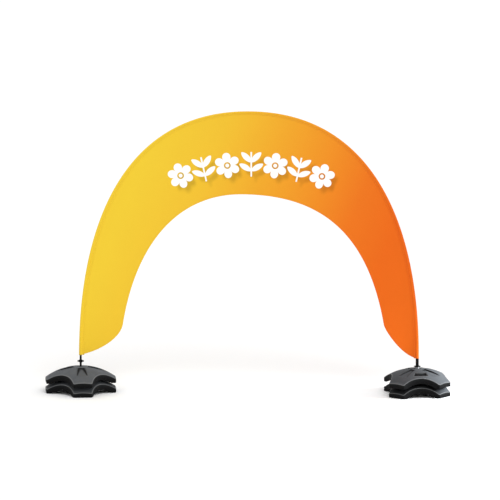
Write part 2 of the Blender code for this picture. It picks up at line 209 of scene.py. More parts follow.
# %% Helpers for node trees
class Wire:
    """A socket of a node tree. Arithmetic on number wires adds Math nodes."""

    def __init__(self, graph, socket):
        self.graph = graph
        self.socket = socket

    def math(self, operation, *others):
        inputs = dict(enumerate((self, *others)))
        return self.graph.node("ShaderNodeMath", {"operation": operation}, inputs)

    def __rsub__(self, other):
        return self.graph.node("ShaderNodeMath", {"operation": "SUBTRACT"}, {0: other, 1: self})

    def between(self, low, high):
        """0 below low and 1 above high, eased in between. Low may be the larger one."""
        settings = {"interpolation_type": "SMOOTHSTEP"}
        if low < high:
            return self.graph.node("ShaderNodeMapRange", settings, {0: self, 1: low, 2: high})
        return 1.0 - self.graph.node("ShaderNodeMapRange", settings, {0: self, 1: high, 2: low})

    __add__ = __radd__ = partialmethod(math, "ADD")
    __mul__ = __rmul__ = partialmethod(math, "MULTIPLY")
    __sub__ = partialmethod(math, "SUBTRACT")
    __truediv__ = partialmethod(math, "DIVIDE")
    __pow__ = partialmethod(math, "POWER")
    abs = partialmethod(math, "ABSOLUTE")
    sin = partialmethod(math, "SINE")
    cos = partialmethod(math, "COSINE")
    sqrt = partialmethod(math, "SQRT")
    round = partialmethod(math, "ROUND")
    fraction = partialmethod(math, "FRACT")
    min = partialmethod(math, "MINIMUM")
    max = partialmethod(math, "MAXIMUM")
    atan2 = partialmethod(math, "ARCTAN2")


class Graph:
    """A node tree that is built in the script."""

    def __init__(self, tree):
        self.tree = tree

    def put(self, socket, value):
        if isinstance(value, Wire):
            self.tree.links.new(value.socket, socket)
        else:
            socket.default_value = value

    def node(self, kind, settings=None, inputs=None, output=0):
        made = self.tree.nodes.new(kind)
        for key, value in (settings or {}).items():
            if key == "stops":
                self.set_stops(made.color_ramp, value)
            else:
                setattr(made, key, value)
        for key, value in (inputs or {}).items():
            self.put(made.inputs[key], value)
        return Wire(self, made.outputs[output])

    @staticmethod
    def set_stops(ramp, stops):
        while len(ramp.elements) < len(stops):
            ramp.elements.new(0.5)
        for element, (position, colour) in zip(ramp.elements, stops):
            element.position = position
            element.color = (*colour, 1.0)


class Finish(Graph):
    """One procedural material, built on its Principled shader."""

    def __init__(self, name, **constants):
        self.material = bpy.data.materials.new(name)
        self.material.use_nodes = True
        super().__init__(self.material.node_tree)
        self.principled = self.tree.nodes["Principled BSDF"]
        self.feed(**constants)

    def feed(self, **values):
        for socket, value in values.items():
            self.put(self.principled.inputs[socket.replace("_", " ")], value)

    def place(self, source="Object"):
        """The x, y and z wires of a texture coordinate."""
        apart = self.tree.nodes.new("ShaderNodeSeparateXYZ")
        self.put(apart.inputs[0], self.node("ShaderNodeTexCoord", output=source))
        return [Wire(self, socket) for socket in apart.outputs]

    def vector(self, x, y, z):
        return self.node("ShaderNodeCombineXYZ", None, {0: x, 1: y, 2: z})

    def noise(self, scale, detail=2.0, roughness=0.5, point=None):
        """Noise in Object coordinates, or at the point of a vector wire."""
        if point is None:
            point = self.node("ShaderNodeTexCoord", output="Object")
        inputs = {"Vector": point, "Scale": scale, "Detail": detail, "Roughness": roughness}
        return self.node("ShaderNodeTexNoise", None, inputs, output="Fac")

    def mix(self, share, low, high):
        """A colour between two colours, each a wire or a plain (red, green, blue)."""
        ends = [(*end, 1.0) if isinstance(end, tuple) else end for end in (low, high)]
        inputs = {0: share, 6: ends[0], 7: ends[1]}
        return self.node("ShaderNodeMix", {"data_type": "RGBA"}, inputs, output=2)

    def scale_colour(self, colour, factor):
        """A colour made lighter or darker by a number wire."""
        grey = self.vector(factor, factor, factor)
        return self.node("ShaderNodeVectorMath", {"operation": "MULTIPLY"}, {0: colour, 1: grey})

    def attribute(self, name):
        return self.node("ShaderNodeAttribute", {"attribute_name": name}, output="Fac")

    def bump(self, *layers):
        """Stack bump layers, each a height wire, a distance in metres and a strength."""
        normal = None
        for height, distance, strength in layers:
            inputs = {"Height": height, "Distance": distance, "Strength": strength}
            if normal is not None:
                inputs["Normal"] = normal
            normal = self.node("ShaderNodeBump", None, inputs)
        self.feed(Normal=normal)

# %% [markdown]
# ## Floor
# The floor is plain and pale, very slightly uneven in tone the way a studio sweep is, and it belongs to the
# stage, not to the object.

# %% Make the floor
FLOOR_RADIUS = 160.0
FLOOR_SIDES = 96
FLOOR_TONE = {"base": 0.965, "blotch": 0.015, "blotch_scale": 0.35}

sweep = Finish("studio_sweep", Roughness=0.9, Specular_IOR_Level=0.15)
sweep_tone = FLOOR_TONE["base"] + FLOOR_TONE["blotch"] * sweep.noise(FLOOR_TONE["blotch_scale"])
sweep.feed(Base_Color=sweep.vector(sweep_tone, sweep_tone, sweep_tone))


@contextmanager
def editing(mesh):
    """A mesh opened for change, and written back at the end."""
    shape = bmesh.new()
    shape.from_mesh(mesh)
    yield shape
    shape.to_mesh(mesh)
    shape.free()


floor_mesh = bpy.data.meshes.new("floor")
with editing(floor_mesh) as shape:
    bmesh.ops.create_circle(shape, cap_ends=True, radius=FLOOR_RADIUS, segments=FLOOR_SIDES)
floor_mesh.materials.append(sweep.material)
floor = place_object("floor", floor_mesh)
print("floor radius", FLOOR_RADIUS, "m")

# %% [markdown]
# ## Meshes from rings
# Tubes, pockets, sheets and plates are all rows of points joined by quads. One helper joins the rows. It
# can close each row into a ring, and it leaves the caps to the piece that needs them.


# %% Mesh helpers
WELD_DISTANCE = 0.000002


def add_piece(name, points, faces, material, replaced=()):
    """A finished piece in place: its object sits at the origin and rides on the root body."""
    mesh = bpy.data.meshes.new(name)
    mesh.from_pydata([tuple(point) for point in points], [], faces)
    mesh.validate()
    weld(mesh)
    return finish_piece(name, mesh, material, replaced)


def finish_piece(name, mesh, material, replaced=()):
    """Put a mesh in place as a piece, with its faces outwards."""
    if not mesh.materials:
        mesh.materials.append(material)
    mesh.shade_smooth()
    piece = place_object(name, mesh)
    face_outwards(mesh)
    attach(piece, "root")
    if replaced:
        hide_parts(*replaced)
    print(name, len(mesh.vertices), "points,", len(mesh.polygons), "faces")
    return piece


def face_outwards(mesh):
    with editing(mesh) as shape:
        bmesh.ops.recalc_face_normals(shape, faces=shape.faces)
        if shape.calc_volume(signed=True) < 0:
            bmesh.ops.reverse_faces(shape, faces=shape.faces)


def weld(mesh):
    """Merge points that lie together, where rows of a grid run into one point."""
    with editing(mesh) as shape:
        bmesh.ops.remove_doubles(shape, verts=shape.verts, dist=WELD_DISTANCE)


def join_rows(rows, columns, closed_rows, closed_columns=False):
    """Quads between neighbouring rows of a grid of points."""
    faces = []
    for row in range(rows if closed_columns else rows - 1):
        here = row * columns
        there = (row + 1) % rows * columns
        for column in range(columns if closed_rows else columns - 1):
            after = (column + 1) % columns
            faces.append((here + column, here + after, there + after, there + column))
    return faces


def end_cap(ring):
    """Quads that close a ring whose second half runs back along its first."""
    return [(ring[i], ring[i + 1], ring[-2 - i], ring[-1 - i]) for i in range(len(ring) // 2 - 1)]


def modified(name, mesh, *modifiers):
    """The plain mesh after modifiers, each a kind and its settings. The host goes away."""
    host = place_object(name, mesh)
    for kind, settings in modifiers:
        modifier = host.modifiers.new(kind.lower(), kind)
        for key, value in settings.items():
            if key.startswith("Socket_"):
                modifier[key] = value
            else:
                setattr(modifier, key, value)
    bpy.context.view_layer.update()
    graph = bpy.context.evaluated_depsgraph_get()
    made = bpy.data.meshes.new_from_object(host.evaluated_get(graph), depsgraph=graph)
    made.name = name
    host.modifiers.clear()
    bpy.data.objects.remove(host, do_unlink=True)
    return made


def ease(value, low, high):
    """Numpy smoothstep from 0 at low to 1 at high."""
    share = np.clip((value - low) / (high - low), 0, 1)
    return share * share * (3 - 2 * share)


# %% [markdown]
# ## The bow and the hem as lines
# Both lines are cubic curves in the upright plane of the arch. They are sampled closely, then spread into
# stations of equal length, which is what the weave, the stitches and the ripples of the cloth need.


# %% Lines of the arch
def bezier(start, start_handle, end_handle, end, steps):
    share = np.linspace(0, 1, steps + 1)[:, None]
    rest = 1 - share
    return (
        np.outer(rest ** 3, start)
        + np.outer(3 * share * rest ** 2, start_handle)
        + np.outer(3 * share ** 2 * rest, end_handle)
        + np.outer(share ** 3, end)
    )


def length_along(points):
    steps = np.linalg.norm(np.diff(points, axis=0), axis=1)
    return np.concatenate([[0], np.cumsum(steps)])


def respace(points, places):
    """Points at the given shares (0 to 1) of a line's length."""
    along = length_along(points)
    return np.stack([np.interp(places * along[-1], along, column) for column in points.T], axis=1)


def headings(points):
    """Unit directions along a line, at each of its points."""
    along = np.gradient(points, axis=0)
    return along / np.linalg.norm(along, axis=1)[:, None]


def inward(points):
    """Unit directions to the right of a line, which is inwards where it runs over the arch to the right."""
    along = headings(points)
    return np.stack([along[:, 1], -along[:, 0]], axis=1)


LINE_SAMPLES = 400


def bow_line():
    half = POLE_SPACING / 2
    start = np.array((-half, BOW_START_HEIGHT))
    top = np.array((0.0, BOW_TOP_HEIGHT))
    rising = bezier(start, start + (0, BOW_FOOT_HANDLE), top - (BOW_TOP_HANDLE, 0), top, LINE_SAMPLES)
    falling = rising[-2::-1] * (-1, 1)
    return np.concatenate([rising, falling]) + (MIDDLE_SHIFT, 0)


def extended(points, left_height, right_height):
    """The bow with both ends carried straight down (or cut off) to the given heights."""
    left = np.array([(points[0, 0], left_height)])
    right = np.array([(points[-1, 0], right_height)])
    return np.concatenate([left, points, right])


BOW = bow_line()
BOW_LENGTH = length_along(BOW)[-1]


def closest(line, point):
    """The index of the line's point that lies closest to a point."""
    return np.argmin(((line - point) ** 2).sum(axis=1))


def pole_radius(points):
    """The pole's radius at points of its line, thinner towards the top."""
    along = length_along(BOW)
    nearest = np.array([along[closest(BOW, point)] for point in points])
    taper = POLE_FOOT_RADIUS - POLE_TOP_RADIUS
    return POLE_TOP_RADIUS + taper * np.abs(nearest / (BOW_LENGTH / 2) - 1)


def cloth_edge():
    """Where the panel ends, inside the pocket."""
    line = extended(BOW, HEM_CORNERS["left"]["height"], HEM_CORNERS["right"]["height"])
    reach = pole_radius(line) + SLEEVE_SLACK + POCKET_REACH + GAP
    return line + inward(line) * reach[:, None]


def hem_half(side, corner_x):
    """The inner hem from its top, round the knee and down to the foot of the pole."""
    sign = -1 if side == "left" else 1
    knee, corner = HEM_KNEES[side], HEM_CORNERS[side]
    top_point = np.array((HEM_TOP["x"] + MIDDLE_SHIFT, HEM_TOP["height"]))
    knee_point = np.array((knee["x"] + MIDDLE_SHIFT, knee["height"]))
    corner_point = np.array((corner_x, corner["height"]))
    lean, rise = math.radians(knee["lean"]), math.radians(corner["lean"])
    up = np.array((-sign * math.sin(lean), math.cos(lean)))
    back = np.array((-sign * math.cos(rise), math.sin(rise)))
    arch = bezier(
        top_point, top_point + (sign * HEM_TOP[f"{side}_handle"], 0),
        knee_point + up * knee["up_handle"], knee_point, LINE_SAMPLES,
    )
    bottom = bezier(
        knee_point, knee_point - up * knee["down_handle"],
        corner_point + back * corner["handle"], corner_point, LINE_SAMPLES // 2,
    )
    return np.concatenate([arch, bottom[1:]])


EDGE = cloth_edge()
HEM = np.concatenate([hem_half("left", EDGE[0, 0])[::-1], hem_half("right", EDGE[-1, 0])[1:]])
print("bow", round(BOW_LENGTH, 3), "m, hem", round(length_along(HEM)[-1], 3), "m")

# %% [markdown]
# ## Printed cloth
# The real cloth is a fine knitted polyester, dyed through with a print that runs from yellow on the left to
# red-orange on the right. The print is a ramp along a slanted direction in the flat cloth, so Object
# coordinates hold it: the panel is flat in x and z. Knitted rows give a fine bump and a slight variation of
# tone.

# %% Colours of the print
PRINT_SLANT = -0.414
PRINT_START = -2.15
PRINT_SPAN = 3.0
PRINT_STOPS = [
    (-2.10, (0.806, 0.552, 0.034)),
    (-1.40, (0.800, 0.484, 0.030)),
    (-0.80, (0.796, 0.362, 0.022)),
    (-0.20, (0.790, 0.257, 0.016)),
    (0.30, (0.774, 0.168, 0.011)),
    (0.80, (0.756, 0.131, 0.008)),
]
KNIT_PITCH = 0.0014
KNIT = {"middle": 0.5, "lean": 0.9, "columns": 0.32, "rows": 0.18}
FIBRE_SCALE = 900.0


def printed_ground(finish):
    """The print's colour, by the place on the flat cloth."""
    x, _, z = finish.place()
    along_print = x - MIDDLE_SHIFT + PRINT_SLANT * z
    share = (along_print - PRINT_START) / PRINT_SPAN
    stops = [((place - PRINT_START) / PRINT_SPAN, colour) for place, colour in PRINT_STOPS]
    return finish.node("ShaderNodeValToRGB", {"stops": stops}, {"Fac": share})


def knit_height(across, along):
    """Interlocked loops: columns of stitches that lean in turn to each side."""
    turn = 2 * math.pi / KNIT_PITCH
    columns = (across * turn + KNIT["lean"] * (along * turn).sin()).sin()
    rows = (along * (2 * turn)).sin()
    return KNIT["middle"] + KNIT["columns"] * columns + KNIT["rows"] * rows * columns.abs()


def cloth_finish(name, colour_of, weave_of, blotch_scale):
    """A knitted cloth. Two functions give its colour, and its places across and along the knit."""
    cloth = Finish(name, Specular_IOR_Level=0.10, Sheen_Weight=0.04)
    knit = knit_height(*weave_of(cloth))
    blotch = cloth.noise(blotch_scale, 3.0)
    fibre = cloth.noise(FIBRE_SCALE, 1.0)
    tone = 0.935 + 0.03 * blotch + 0.08 * knit + 0.02 * fibre
    cloth.feed(Base_Color=cloth.scale_colour(colour_of(cloth), tone), Roughness=0.74 + 0.12 * fibre)
    cloth.bump((knit, 0.0004, 0.6), (fibre, 0.0002, 0.2))
    print(name, "nodes:", len(cloth.tree.nodes))
    return cloth


# %% [markdown]
# ## Ornament
# Above the way through, the panel carries a plain printed garland of white flowers and paired leaves, each
# with a soft printed shadow. Each motif is found by turning the flat cloth into polar coordinates around
# the centre of the row, and rounding the angle to the nearest motif. The odd motifs, counted from the
# middle, are flowers.

# %% Ornament sizes
ROW_CENTRE_X = 0.025
ROW_CENTRE_HEIGHT = 0.16
ROW_RADIUS = 2.250
MOTIF_COUNT = 7
MOTIF_TURN = math.radians(6.35)
FLOWER = {"radius": 0.132, "eye": 0.034, "dot": 0.019, "petals": 6, "notch": 0.50, "petal_curve": 0.55}
LEAF = {"length": 0.146, "width": 0.056, "curve": 0.8, "tip": 0.03}
LEAF_LEVELS = ((-0.070, math.radians(58)), (0.020, math.radians(42)))
STEM = {"half_width": 0.007, "half_length": 0.128}
PRINT_EDGE = 0.0025
PRINT_WHITE = (0.92, 0.92, 0.905)
SHADOW_SHIFT = (0.048, -0.055)
SHADOW_STRENGTH = 0.28
FLOWER_SHADOW = {"reach": 0.80, "petal_wave": 0.10, "softness": 0.040}
LEAF_SHADOW = {"strength": 0.85, "outer": 1.7, "inner": 0.3}
STEM_SHADOW = {"strength": 0.4, "half_width": 0.035, "end_softness": 0.03}
CELL_SOFTNESS = 0.04


def motif_place(finish, shift=(0.0, 0.0)):
    """The place across and up from the middle of the nearest motif, and 1 where that is a flower."""
    x, _, z = finish.place()
    x = x - (MIDDLE_SHIFT + ROW_CENTRE_X + shift[0])
    z = z - (ROW_CENTRE_HEIGHT + shift[1])
    angle = x.atan2(z)
    half = (MOTIF_COUNT - 1) / 2
    motif = (angle / MOTIF_TURN).round().min(half).max(-half)
    across = (angle - motif * MOTIF_TURN) * ROW_RADIUS
    up = (x * x + z * z).sqrt() - ROW_RADIUS
    flower = (motif.abs() * 0.5 + 0.25).fraction().between(0.45, 0.55)
    return across, up, flower


def leaf_place(side, up, level, lean):
    """The place along a leaf from its stem, and off its middle line."""
    along = side * math.sin(lean) + (up - level) * math.cos(lean)
    off = (side * math.cos(lean) - (up - level) * math.sin(lean)).abs()
    return along, off


def printed(distance):
    """1 where a distance is below zero, with an edge PRINT_EDGE wide."""
    return distance.between(PRINT_EDGE, 0.0)


def garland(finish):
    """1 on the printed motifs and 0 elsewhere."""
    across, up, is_flower = motif_place(finish)
    reach = (across * across + up * up).sqrt()
    petal = (across.atan2(up) * (FLOWER["petals"] / 2)).cos().abs() ** FLOWER["petal_curve"]
    outline = FLOWER["radius"] * (1 - FLOWER["notch"] + FLOWER["notch"] * petal)
    around_eye = (reach - FLOWER["eye"]).between(0.0, PRINT_EDGE)
    flower = printed(reach - outline) * around_eye.max(printed(reach - FLOWER["dot"]))

    side = across.abs()
    leaves = printed(side - STEM["half_width"]) * printed(up.abs() - STEM["half_length"])
    for level, lean in LEAF_LEVELS:
        along, off = leaf_place(side, up, level, lean)
        share = along / LEAF["length"]
        width = LEAF["width"] * (4 * share.max(0.0) * (1.0 - share).max(0.0)) ** LEAF["curve"]
        inside = (share * (1.0 - share)).between(0.0, LEAF["tip"])
        leaves = leaves.max(printed(off - width / 2) * inside)
    return flower * is_flower + leaves * (1.0 - is_flower)


def garland_shadow(finish):
    """A soft share of shadow, rounder than the motifs and shifted from them."""
    across, up, is_flower = motif_place(finish, SHADOW_SHIFT)
    reach = (across * across + up * up).sqrt()
    petal = (across.atan2(up) * FLOWER["petals"]).cos()
    outline = FLOWER["radius"] * (FLOWER_SHADOW["reach"] + FLOWER_SHADOW["petal_wave"] * petal)
    flower = (reach - outline).between(FLOWER_SHADOW["softness"], -FLOWER_SHADOW["softness"])
    side = across.abs()
    beyond_stem = up.abs() - STEM["half_length"]
    stem = side.between(STEM_SHADOW["half_width"], 0.0)
    stem = stem * beyond_stem.between(STEM_SHADOW["end_softness"], -STEM_SHADOW["end_softness"])
    lit = 1.0 - STEM_SHADOW["strength"] * stem
    for level, lean in LEAF_LEVELS:
        along, off = leaf_place(side, up, level, lean)
        lengthwise = (along - LEAF["length"] / 2) / (LEAF["length"] / 2)
        crosswise = off / (LEAF["width"] / 2)
        spread = (lengthwise * lengthwise + crosswise * crosswise).sqrt()
        leaf = spread.between(LEAF_SHADOW["outer"], LEAF_SHADOW["inner"])
        lit = lit * (1.0 - LEAF_SHADOW["strength"] * leaf)
    cell = MOTIF_TURN * ROW_RADIUS / 2
    apart = side.between(cell, cell - CELL_SOFTNESS)
    return (flower * is_flower + (1.0 - lit) * (1.0 - is_flower)) * apart


# %% Cloth of the panel
def panel_colour(cloth):
    shaded = cloth.scale_colour(printed_ground(cloth), 1.0 - SHADOW_STRENGTH * garland_shadow(cloth))
    return cloth.mix(garland(cloth), shaded, PRINT_WHITE)


def panel_weave(cloth):
    x, _, z = cloth.place()
    return x, z


panel_print = cloth_finish("printed_knit", panel_colour, panel_weave, blotch_scale=3.0)

# %% [markdown]
# ## The panel
# The panel is one sheet, so it could be a flat face with Solidify. A grid with its own rows is better here:
# the first rows follow the hem at true distances from the edge, which gives the turned hem its width and
# thickness, and the rows beyond share out the cloth up to the pocket. Very low ripples follow the pull
# between bow and hem.

# %% Build the panel
PANEL_STATIONS = 560
PANEL_HALF_THICKNESS = 0.0006
HEM_WIDTH = 0.022
HEM_EXTRA = 0.0011
HEM_ROWS = [0.0, 0.0007, 0.0025, 0.0060, 0.0115, 0.0170, HEM_WIDTH, 0.0232, 0.0300]
FOLD_SHARES = (0.45, 0.85)
HEM_SEAM_ROWS = (3, 5)
OPEN_ROWS = 26
OPEN_ROW_CROWDING = 0.25
HEM_SAMPLES = 2400
EDGE_SAMPLES = 20000
LEG_SAMPLES = 60
LEG_HEIGHT = 1.0
RIPPLE = {"slow": 0.0016, "quick": 0.0007, "still": 0.05, "full": 0.7}
EDGE_DENSE = respace(EDGE, np.linspace(0, 1, EDGE_SAMPLES))


def hem_row(distance):
    """A line at a true distance from the hem, from one side of the panel to the other."""
    line = respace(HEM, np.linspace(0, 1, HEM_SAMPLES))
    if distance == 0:
        return line
    line = line - inward(line) * distance
    left_leg, right_leg = EDGE[:LEG_SAMPLES], EDGE[:-LEG_SAMPLES - 1:-1]
    left_side = np.interp(line[:, 1], left_leg[:, 1], left_leg[:, 0])
    right_side = np.interp(line[:, 1], right_leg[:, 1], right_leg[:, 0])
    keep = (line[:, 0] > left_side) & (line[:, 0] < right_side) | (line[:, 1] > LEG_HEIGHT)
    return snap_ends(line[keep])


def snap_ends(line):
    """Carry both ends of a row on to the panel's edge in the pocket."""
    first, last = (EDGE_DENSE[closest(EDGE_DENSE, line[end])] for end in (0, -1))
    return np.concatenate([[first], line, [last]])


stations = np.linspace(0, 1, PANEL_STATIONS)
rows = [respace(hem_row(distance), stations) for distance in HEM_ROWS]
last_hem_row = rows[-1]
first, last = (closest(EDGE_DENSE, last_hem_row[end]) for end in (0, -1))
outer_row = respace(EDGE_DENSE[first:last + 1], stations)
for step in range(1, OPEN_ROWS + 1):
    share = step / OPEN_ROWS
    share = share * (1 + OPEN_ROW_CROWDING - OPEN_ROW_CROWDING * share)
    rows.append(last_hem_row * (1 - share) + outer_row * share)


def ripple(share):
    """How far a row stands out of the cloth's plane. It is still at both ends and at the pocket."""
    along = stations * BOW_LENGTH
    still, full = RIPPLE["still"], RIPPLE["full"]
    ends = ease(along, still, full) * ease(BOW_LENGTH - along, still, full)
    middle = np.sin(np.pi * np.clip(share, 0, 1)) ** 2
    slow = np.sin(along * 5.1 + 2.2 * share) + 0.6 * np.sin(along * 11.3 - 3.0 * share + 1.0)
    quick = np.sin(along * 23.0 + 1.7)
    return ends * (RIPPLE["slow"] * middle * slow + RIPPLE["quick"] * (1 - share) ** 6 * quick)


FRONT_ROWS, BACK_ROWS = [], []
for index, row in enumerate(rows):
    middle_y = ripple(max(0.0, (index - len(HEM_ROWS) + 1) / OPEN_ROWS))
    thin = FOLD_SHARES[index] if index < len(FOLD_SHARES) else 1.0
    extra = 0.0
    if index == 0:
        middle_y = middle_y + HEM_EXTRA / 2
    elif index < len(HEM_ROWS) and HEM_ROWS[index] <= HEM_WIDTH:
        extra = HEM_EXTRA * thin
    half = PANEL_HALF_THICKNESS * thin
    for store, y in ((FRONT_ROWS, middle_y - half), (BACK_ROWS, middle_y + half + extra)):
        store.append(np.stack([row[:, 0], y, row[:, 1]], axis=1))
points = np.concatenate(FRONT_ROWS + BACK_ROWS[::-1])
faces = join_rows(2 * len(rows), PANEL_STATIONS, closed_rows=False, closed_columns=True)
for column in (0, PANEL_STATIONS - 1):
    faces += end_cap(range(column, len(points), PANEL_STATIONS))
panel = add_piece("arch_panel", points, faces, panel_print.material, ["panel"])
panel_area = sum(face.area for face in panel.data.polygons) / 2
print("panel cloth area", round(panel_area, 3), "square metres")

# %% [markdown]
# ## The pole's pocket
# On the real arch a strip of the same cloth is folded round the pole, and both of its edges are sewn on to
# the panel, one on each face. So the section is a loop round the pole that narrows to two flat flanges. One
# thin closed sheet is lofted along the bow. It carries a UV map in metres, so that its weave follows the
# strip.

# %% Cloth of the pocket
def pocket_weave(cloth):
    along, across, _ = cloth.place("UV")
    return across, along


pocket_print = cloth_finish("printed_pocket", printed_ground, pocket_weave, blotch_scale=4.0)

# %% Build the pocket
POCKET_STATIONS = 700
POCKET_CLOTH = 0.0009
POCKET_END_EXTRA = 0.0005
POCKET_END_HEM = 0.018
LOOP_STEPS = 21
LOOP_OPENING = math.radians(36)
THROAT_STEPS = 6
FLANGE_STEPS = 4
FLANGE_WIDTH = 0.014
FLANGE_LIFT = PANEL_HALF_THICKNESS + POCKET_CLOTH / 2 + 0.0001
PUCKER = {"height": 0.0006, "middle": 0.64, "spread": 0.16}
PUCKER_WAVES = ((97.0, 2.4, 0.0), (61.0, 1.1, 2.0))
THROAT_LENGTH = 0.56


def pocket_section(radius):
    """Half-plane points (inward, out) of the strip's middle line, from one flange round to the other."""
    upper = []
    start = np.array((radius * math.cos(LOOP_OPENING), radius * math.sin(LOOP_OPENING)))
    slope = -start[0] / start[1]
    throat = radius * THROAT_LENGTH
    end_inward = start[0] + throat
    for step in range(FLANGE_STEPS + 1):
        upper.append((end_inward + FLANGE_WIDTH * (1 - step / FLANGE_STEPS), FLANGE_LIFT))
    for step in range(1, THROAT_STEPS):
        share = 1 - step / THROAT_STEPS
        rise = 2 * share ** 3 - 3 * share ** 2 + 1
        out = (
            start[1] * rise
            + slope * throat * (share ** 3 - 2 * share ** 2 + share)
            + FLANGE_LIFT * (1 - rise)
        )
        upper.append((start[0] + throat * share, out))
    loop = []
    for step in range(LOOP_STEPS + 1):
        angle = LOOP_OPENING + (2 * math.pi - 2 * LOOP_OPENING) * step / LOOP_STEPS
        loop.append((radius * math.cos(angle), radius * math.sin(angle)))
    lower = [(inward_place, -out) for inward_place, out in reversed(upper)]
    return np.array(upper + loop + lower)


POCKET_LINE = respace(extended(BOW, LEFT_SLEEVE_END, RIGHT_SLEEVE_END), np.linspace(0, 1, POCKET_STATIONS))
POCKET_INWARD = inward(POCKET_LINE)
POCKET_ALONG = length_along(POCKET_LINE)
pocket_radii = pole_radius(POCKET_LINE) + SLEEVE_SLACK + POCKET_CLOTH / 2
sections = np.stack([pocket_section(radius) for radius in pocket_radii])
columns = sections.shape[1]
centre_column = (columns - 1) / 2
column_side = (np.arange(columns) - centre_column) / centre_column
throat_share = np.exp(-(((np.abs(column_side) - PUCKER["middle"]) / PUCKER["spread"]) ** 2))

outer_points, inner_points = [], []
for station in range(POCKET_STATIONS):
    section = sections[station]
    normals = -inward(section)
    along = POCKET_ALONG[station]
    wave = sum((
        0.25 * np.sin(along * pace + lag * np.sign(column_side) + start)
        for pace, lag, start in PUCKER_WAVES
    ), 0.5)
    puff = PUCKER["height"] * throat_share * wave
    to_end = min(along, POCKET_ALONG[-1] - along)
    thick = POCKET_CLOTH + (POCKET_END_EXTRA if to_end < POCKET_END_HEM else 0.0)
    middle = section - normals * puff[:, None]
    for shift, store in ((POCKET_CLOTH / 2 - thick, outer_points), (POCKET_CLOTH / 2, inner_points)):
        flat = middle + normals * shift
        place = POCKET_LINE[station] + np.outer(flat[:, 0], POCKET_INWARD[station])
        store.append(np.stack([place[:, 0], flat[:, 1], place[:, 1]], axis=1))
rings = [np.concatenate([outer, inner[::-1]]) for outer, inner in zip(outer_points, inner_points)]
points = np.concatenate(rings)
ring_size = 2 * columns
faces = join_rows(POCKET_STATIONS, ring_size, closed_rows=True)
for start in (0, len(points) - ring_size):
    faces += end_cap(range(start, start + ring_size))
pocket = add_piece("pole_pocket", points, faces, pocket_print.material, ["pole_sleeve"])

strip_widths = np.stack([length_along(section) for section in sections])
strip_widths -= strip_widths[:, -1:] / 2
strip_map = pocket.data.uv_layers.new(name="strip")
corner_points = np.empty(len(pocket.data.loops), dtype=int)
pocket.data.loops.foreach_get("vertex_index", corner_points)
corner_station, corner_column = corner_points // ring_size, corner_points % ring_size
corner_column = np.where(corner_column < columns, corner_column, 2 * columns - 1 - corner_column)
strip_places = np.stack([
    POCKET_ALONG[corner_station], strip_widths[corner_station, corner_column]
], axis=1)
strip_map.data.foreach_set("uv", strip_places.astype(np.float32).ravel())
pocket_area = sum(face.area for face in pocket.data.polygons) / 2
strip_cut = 2 * strip_widths[:, -1]
print("pocket strip", round(strip_cut.min(), 4), "to", round(strip_cut.max(), 4), "m wide,",
      round(POCKET_ALONG[-1], 3), "m long, area", round(pocket_area, 3))

# %% [markdown]
# ## Stitches
# A lockstitch shows as a row of short raised threads, thousands of them, so it is made once and repeated by
# Geometry Nodes. The tree turns each seam line into a curve, spreads points along it at the stitch pitch,
# puts a small rounded thread on each, turns it along the seam, and makes the result real.

# %% Thread
thread_finish = Finish("printed_thread", Specular_IOR_Level=0.35, Sheen_Weight=0.05)
thread_twist = thread_finish.noise(1400.0, 1.0)
thread_finish.feed(
    Base_Color=thread_finish.scale_colour(printed_ground(thread_finish), 0.78 + 0.16 * thread_twist),
    Roughness=0.42 + 0.16 * thread_twist,
)


# %% A tree that sews along lines
class Tree(Graph):
    """A Geometry Nodes tree with named inputs and their values."""

    kinds = {float: "NodeSocketFloat", int: "NodeSocketInt", tuple: "NodeSocketVector"}

    def __init__(self, name, inputs):
        super().__init__(bpy.data.node_groups.new(name, "GeometryNodeTree"))
        face = self.tree.interface
        face.new_socket("Geometry", in_out="INPUT", socket_type="NodeSocketGeometry")
        self.inputs, self.identifiers = inputs, {}
        for label, value in inputs.items():
            socket = face.new_socket(label, in_out="INPUT", socket_type=self.kinds[type(value)])
            self.identifiers[label] = socket.identifier
        face.new_socket("Geometry", in_out="OUTPUT", socket_type="NodeSocketGeometry")
        self.start = self.tree.nodes.new("NodeGroupInput")
        self.end = self.tree.nodes.new("NodeGroupOutput")

    def given(self, label):
        return Wire(self, self.start.outputs[label])

    def deliver(self, geometry, material):
        real = self.node("GeometryNodeRealizeInstances", None, {0: geometry})
        done = self.node("GeometryNodeSetMaterial", None, {0: real, "Material": material})
        self.put(self.end.inputs[0], done)

    def run(self, name, mesh, **changes):
        """The plain mesh that the tree makes from a host mesh. Inputs are set by socket identifier."""
        values = {**self.inputs, **changes}
        settings = {self.identifiers[label]: value for label, value in values.items()}
        return modified(name, mesh, ("NODES", {"node_group": self.tree, **settings}))


THREAD_WIDTH = 0.0008
THREAD_LIFT = THREAD_WIDTH * 0.15
sewing = Tree("sew_along_lines", {
    "Pitch": 0.0062, "Stitch Length": 0.0047, "Thread Width": THREAD_WIDTH, "Slant": 0.05, "Seed": 4,
})
seam_curve = sewing.node("GeometryNodeMeshToCurve", None, {0: sewing.given("Geometry")})
seam_points = sewing.node("GeometryNodeResampleCurve", {"mode": "LENGTH"}, {
    "Curve": seam_curve, "Length": sewing.given("Pitch"),
})
one_thread = sewing.node("GeometryNodeMeshIcoSphere", None, {"Radius": 0.5, "Subdivisions": 1})
thread_size = sewing.node("ShaderNodeCombineXYZ", None, {
    0: sewing.given("Stitch Length"), 1: sewing.given("Thread Width"), 2: sewing.given("Thread Width"),
})
shaped_thread = sewing.node("GeometryNodeTransform", None, {"Geometry": one_thread, "Scale": thread_size})
turned = sewing.node("FunctionNodeAlignRotationToVector", {"axis": "X", "pivot_axis": "Y"}, {
    "Vector": sewing.node("GeometryNodeInputTangent"),
})
slant = sewing.given("Slant")
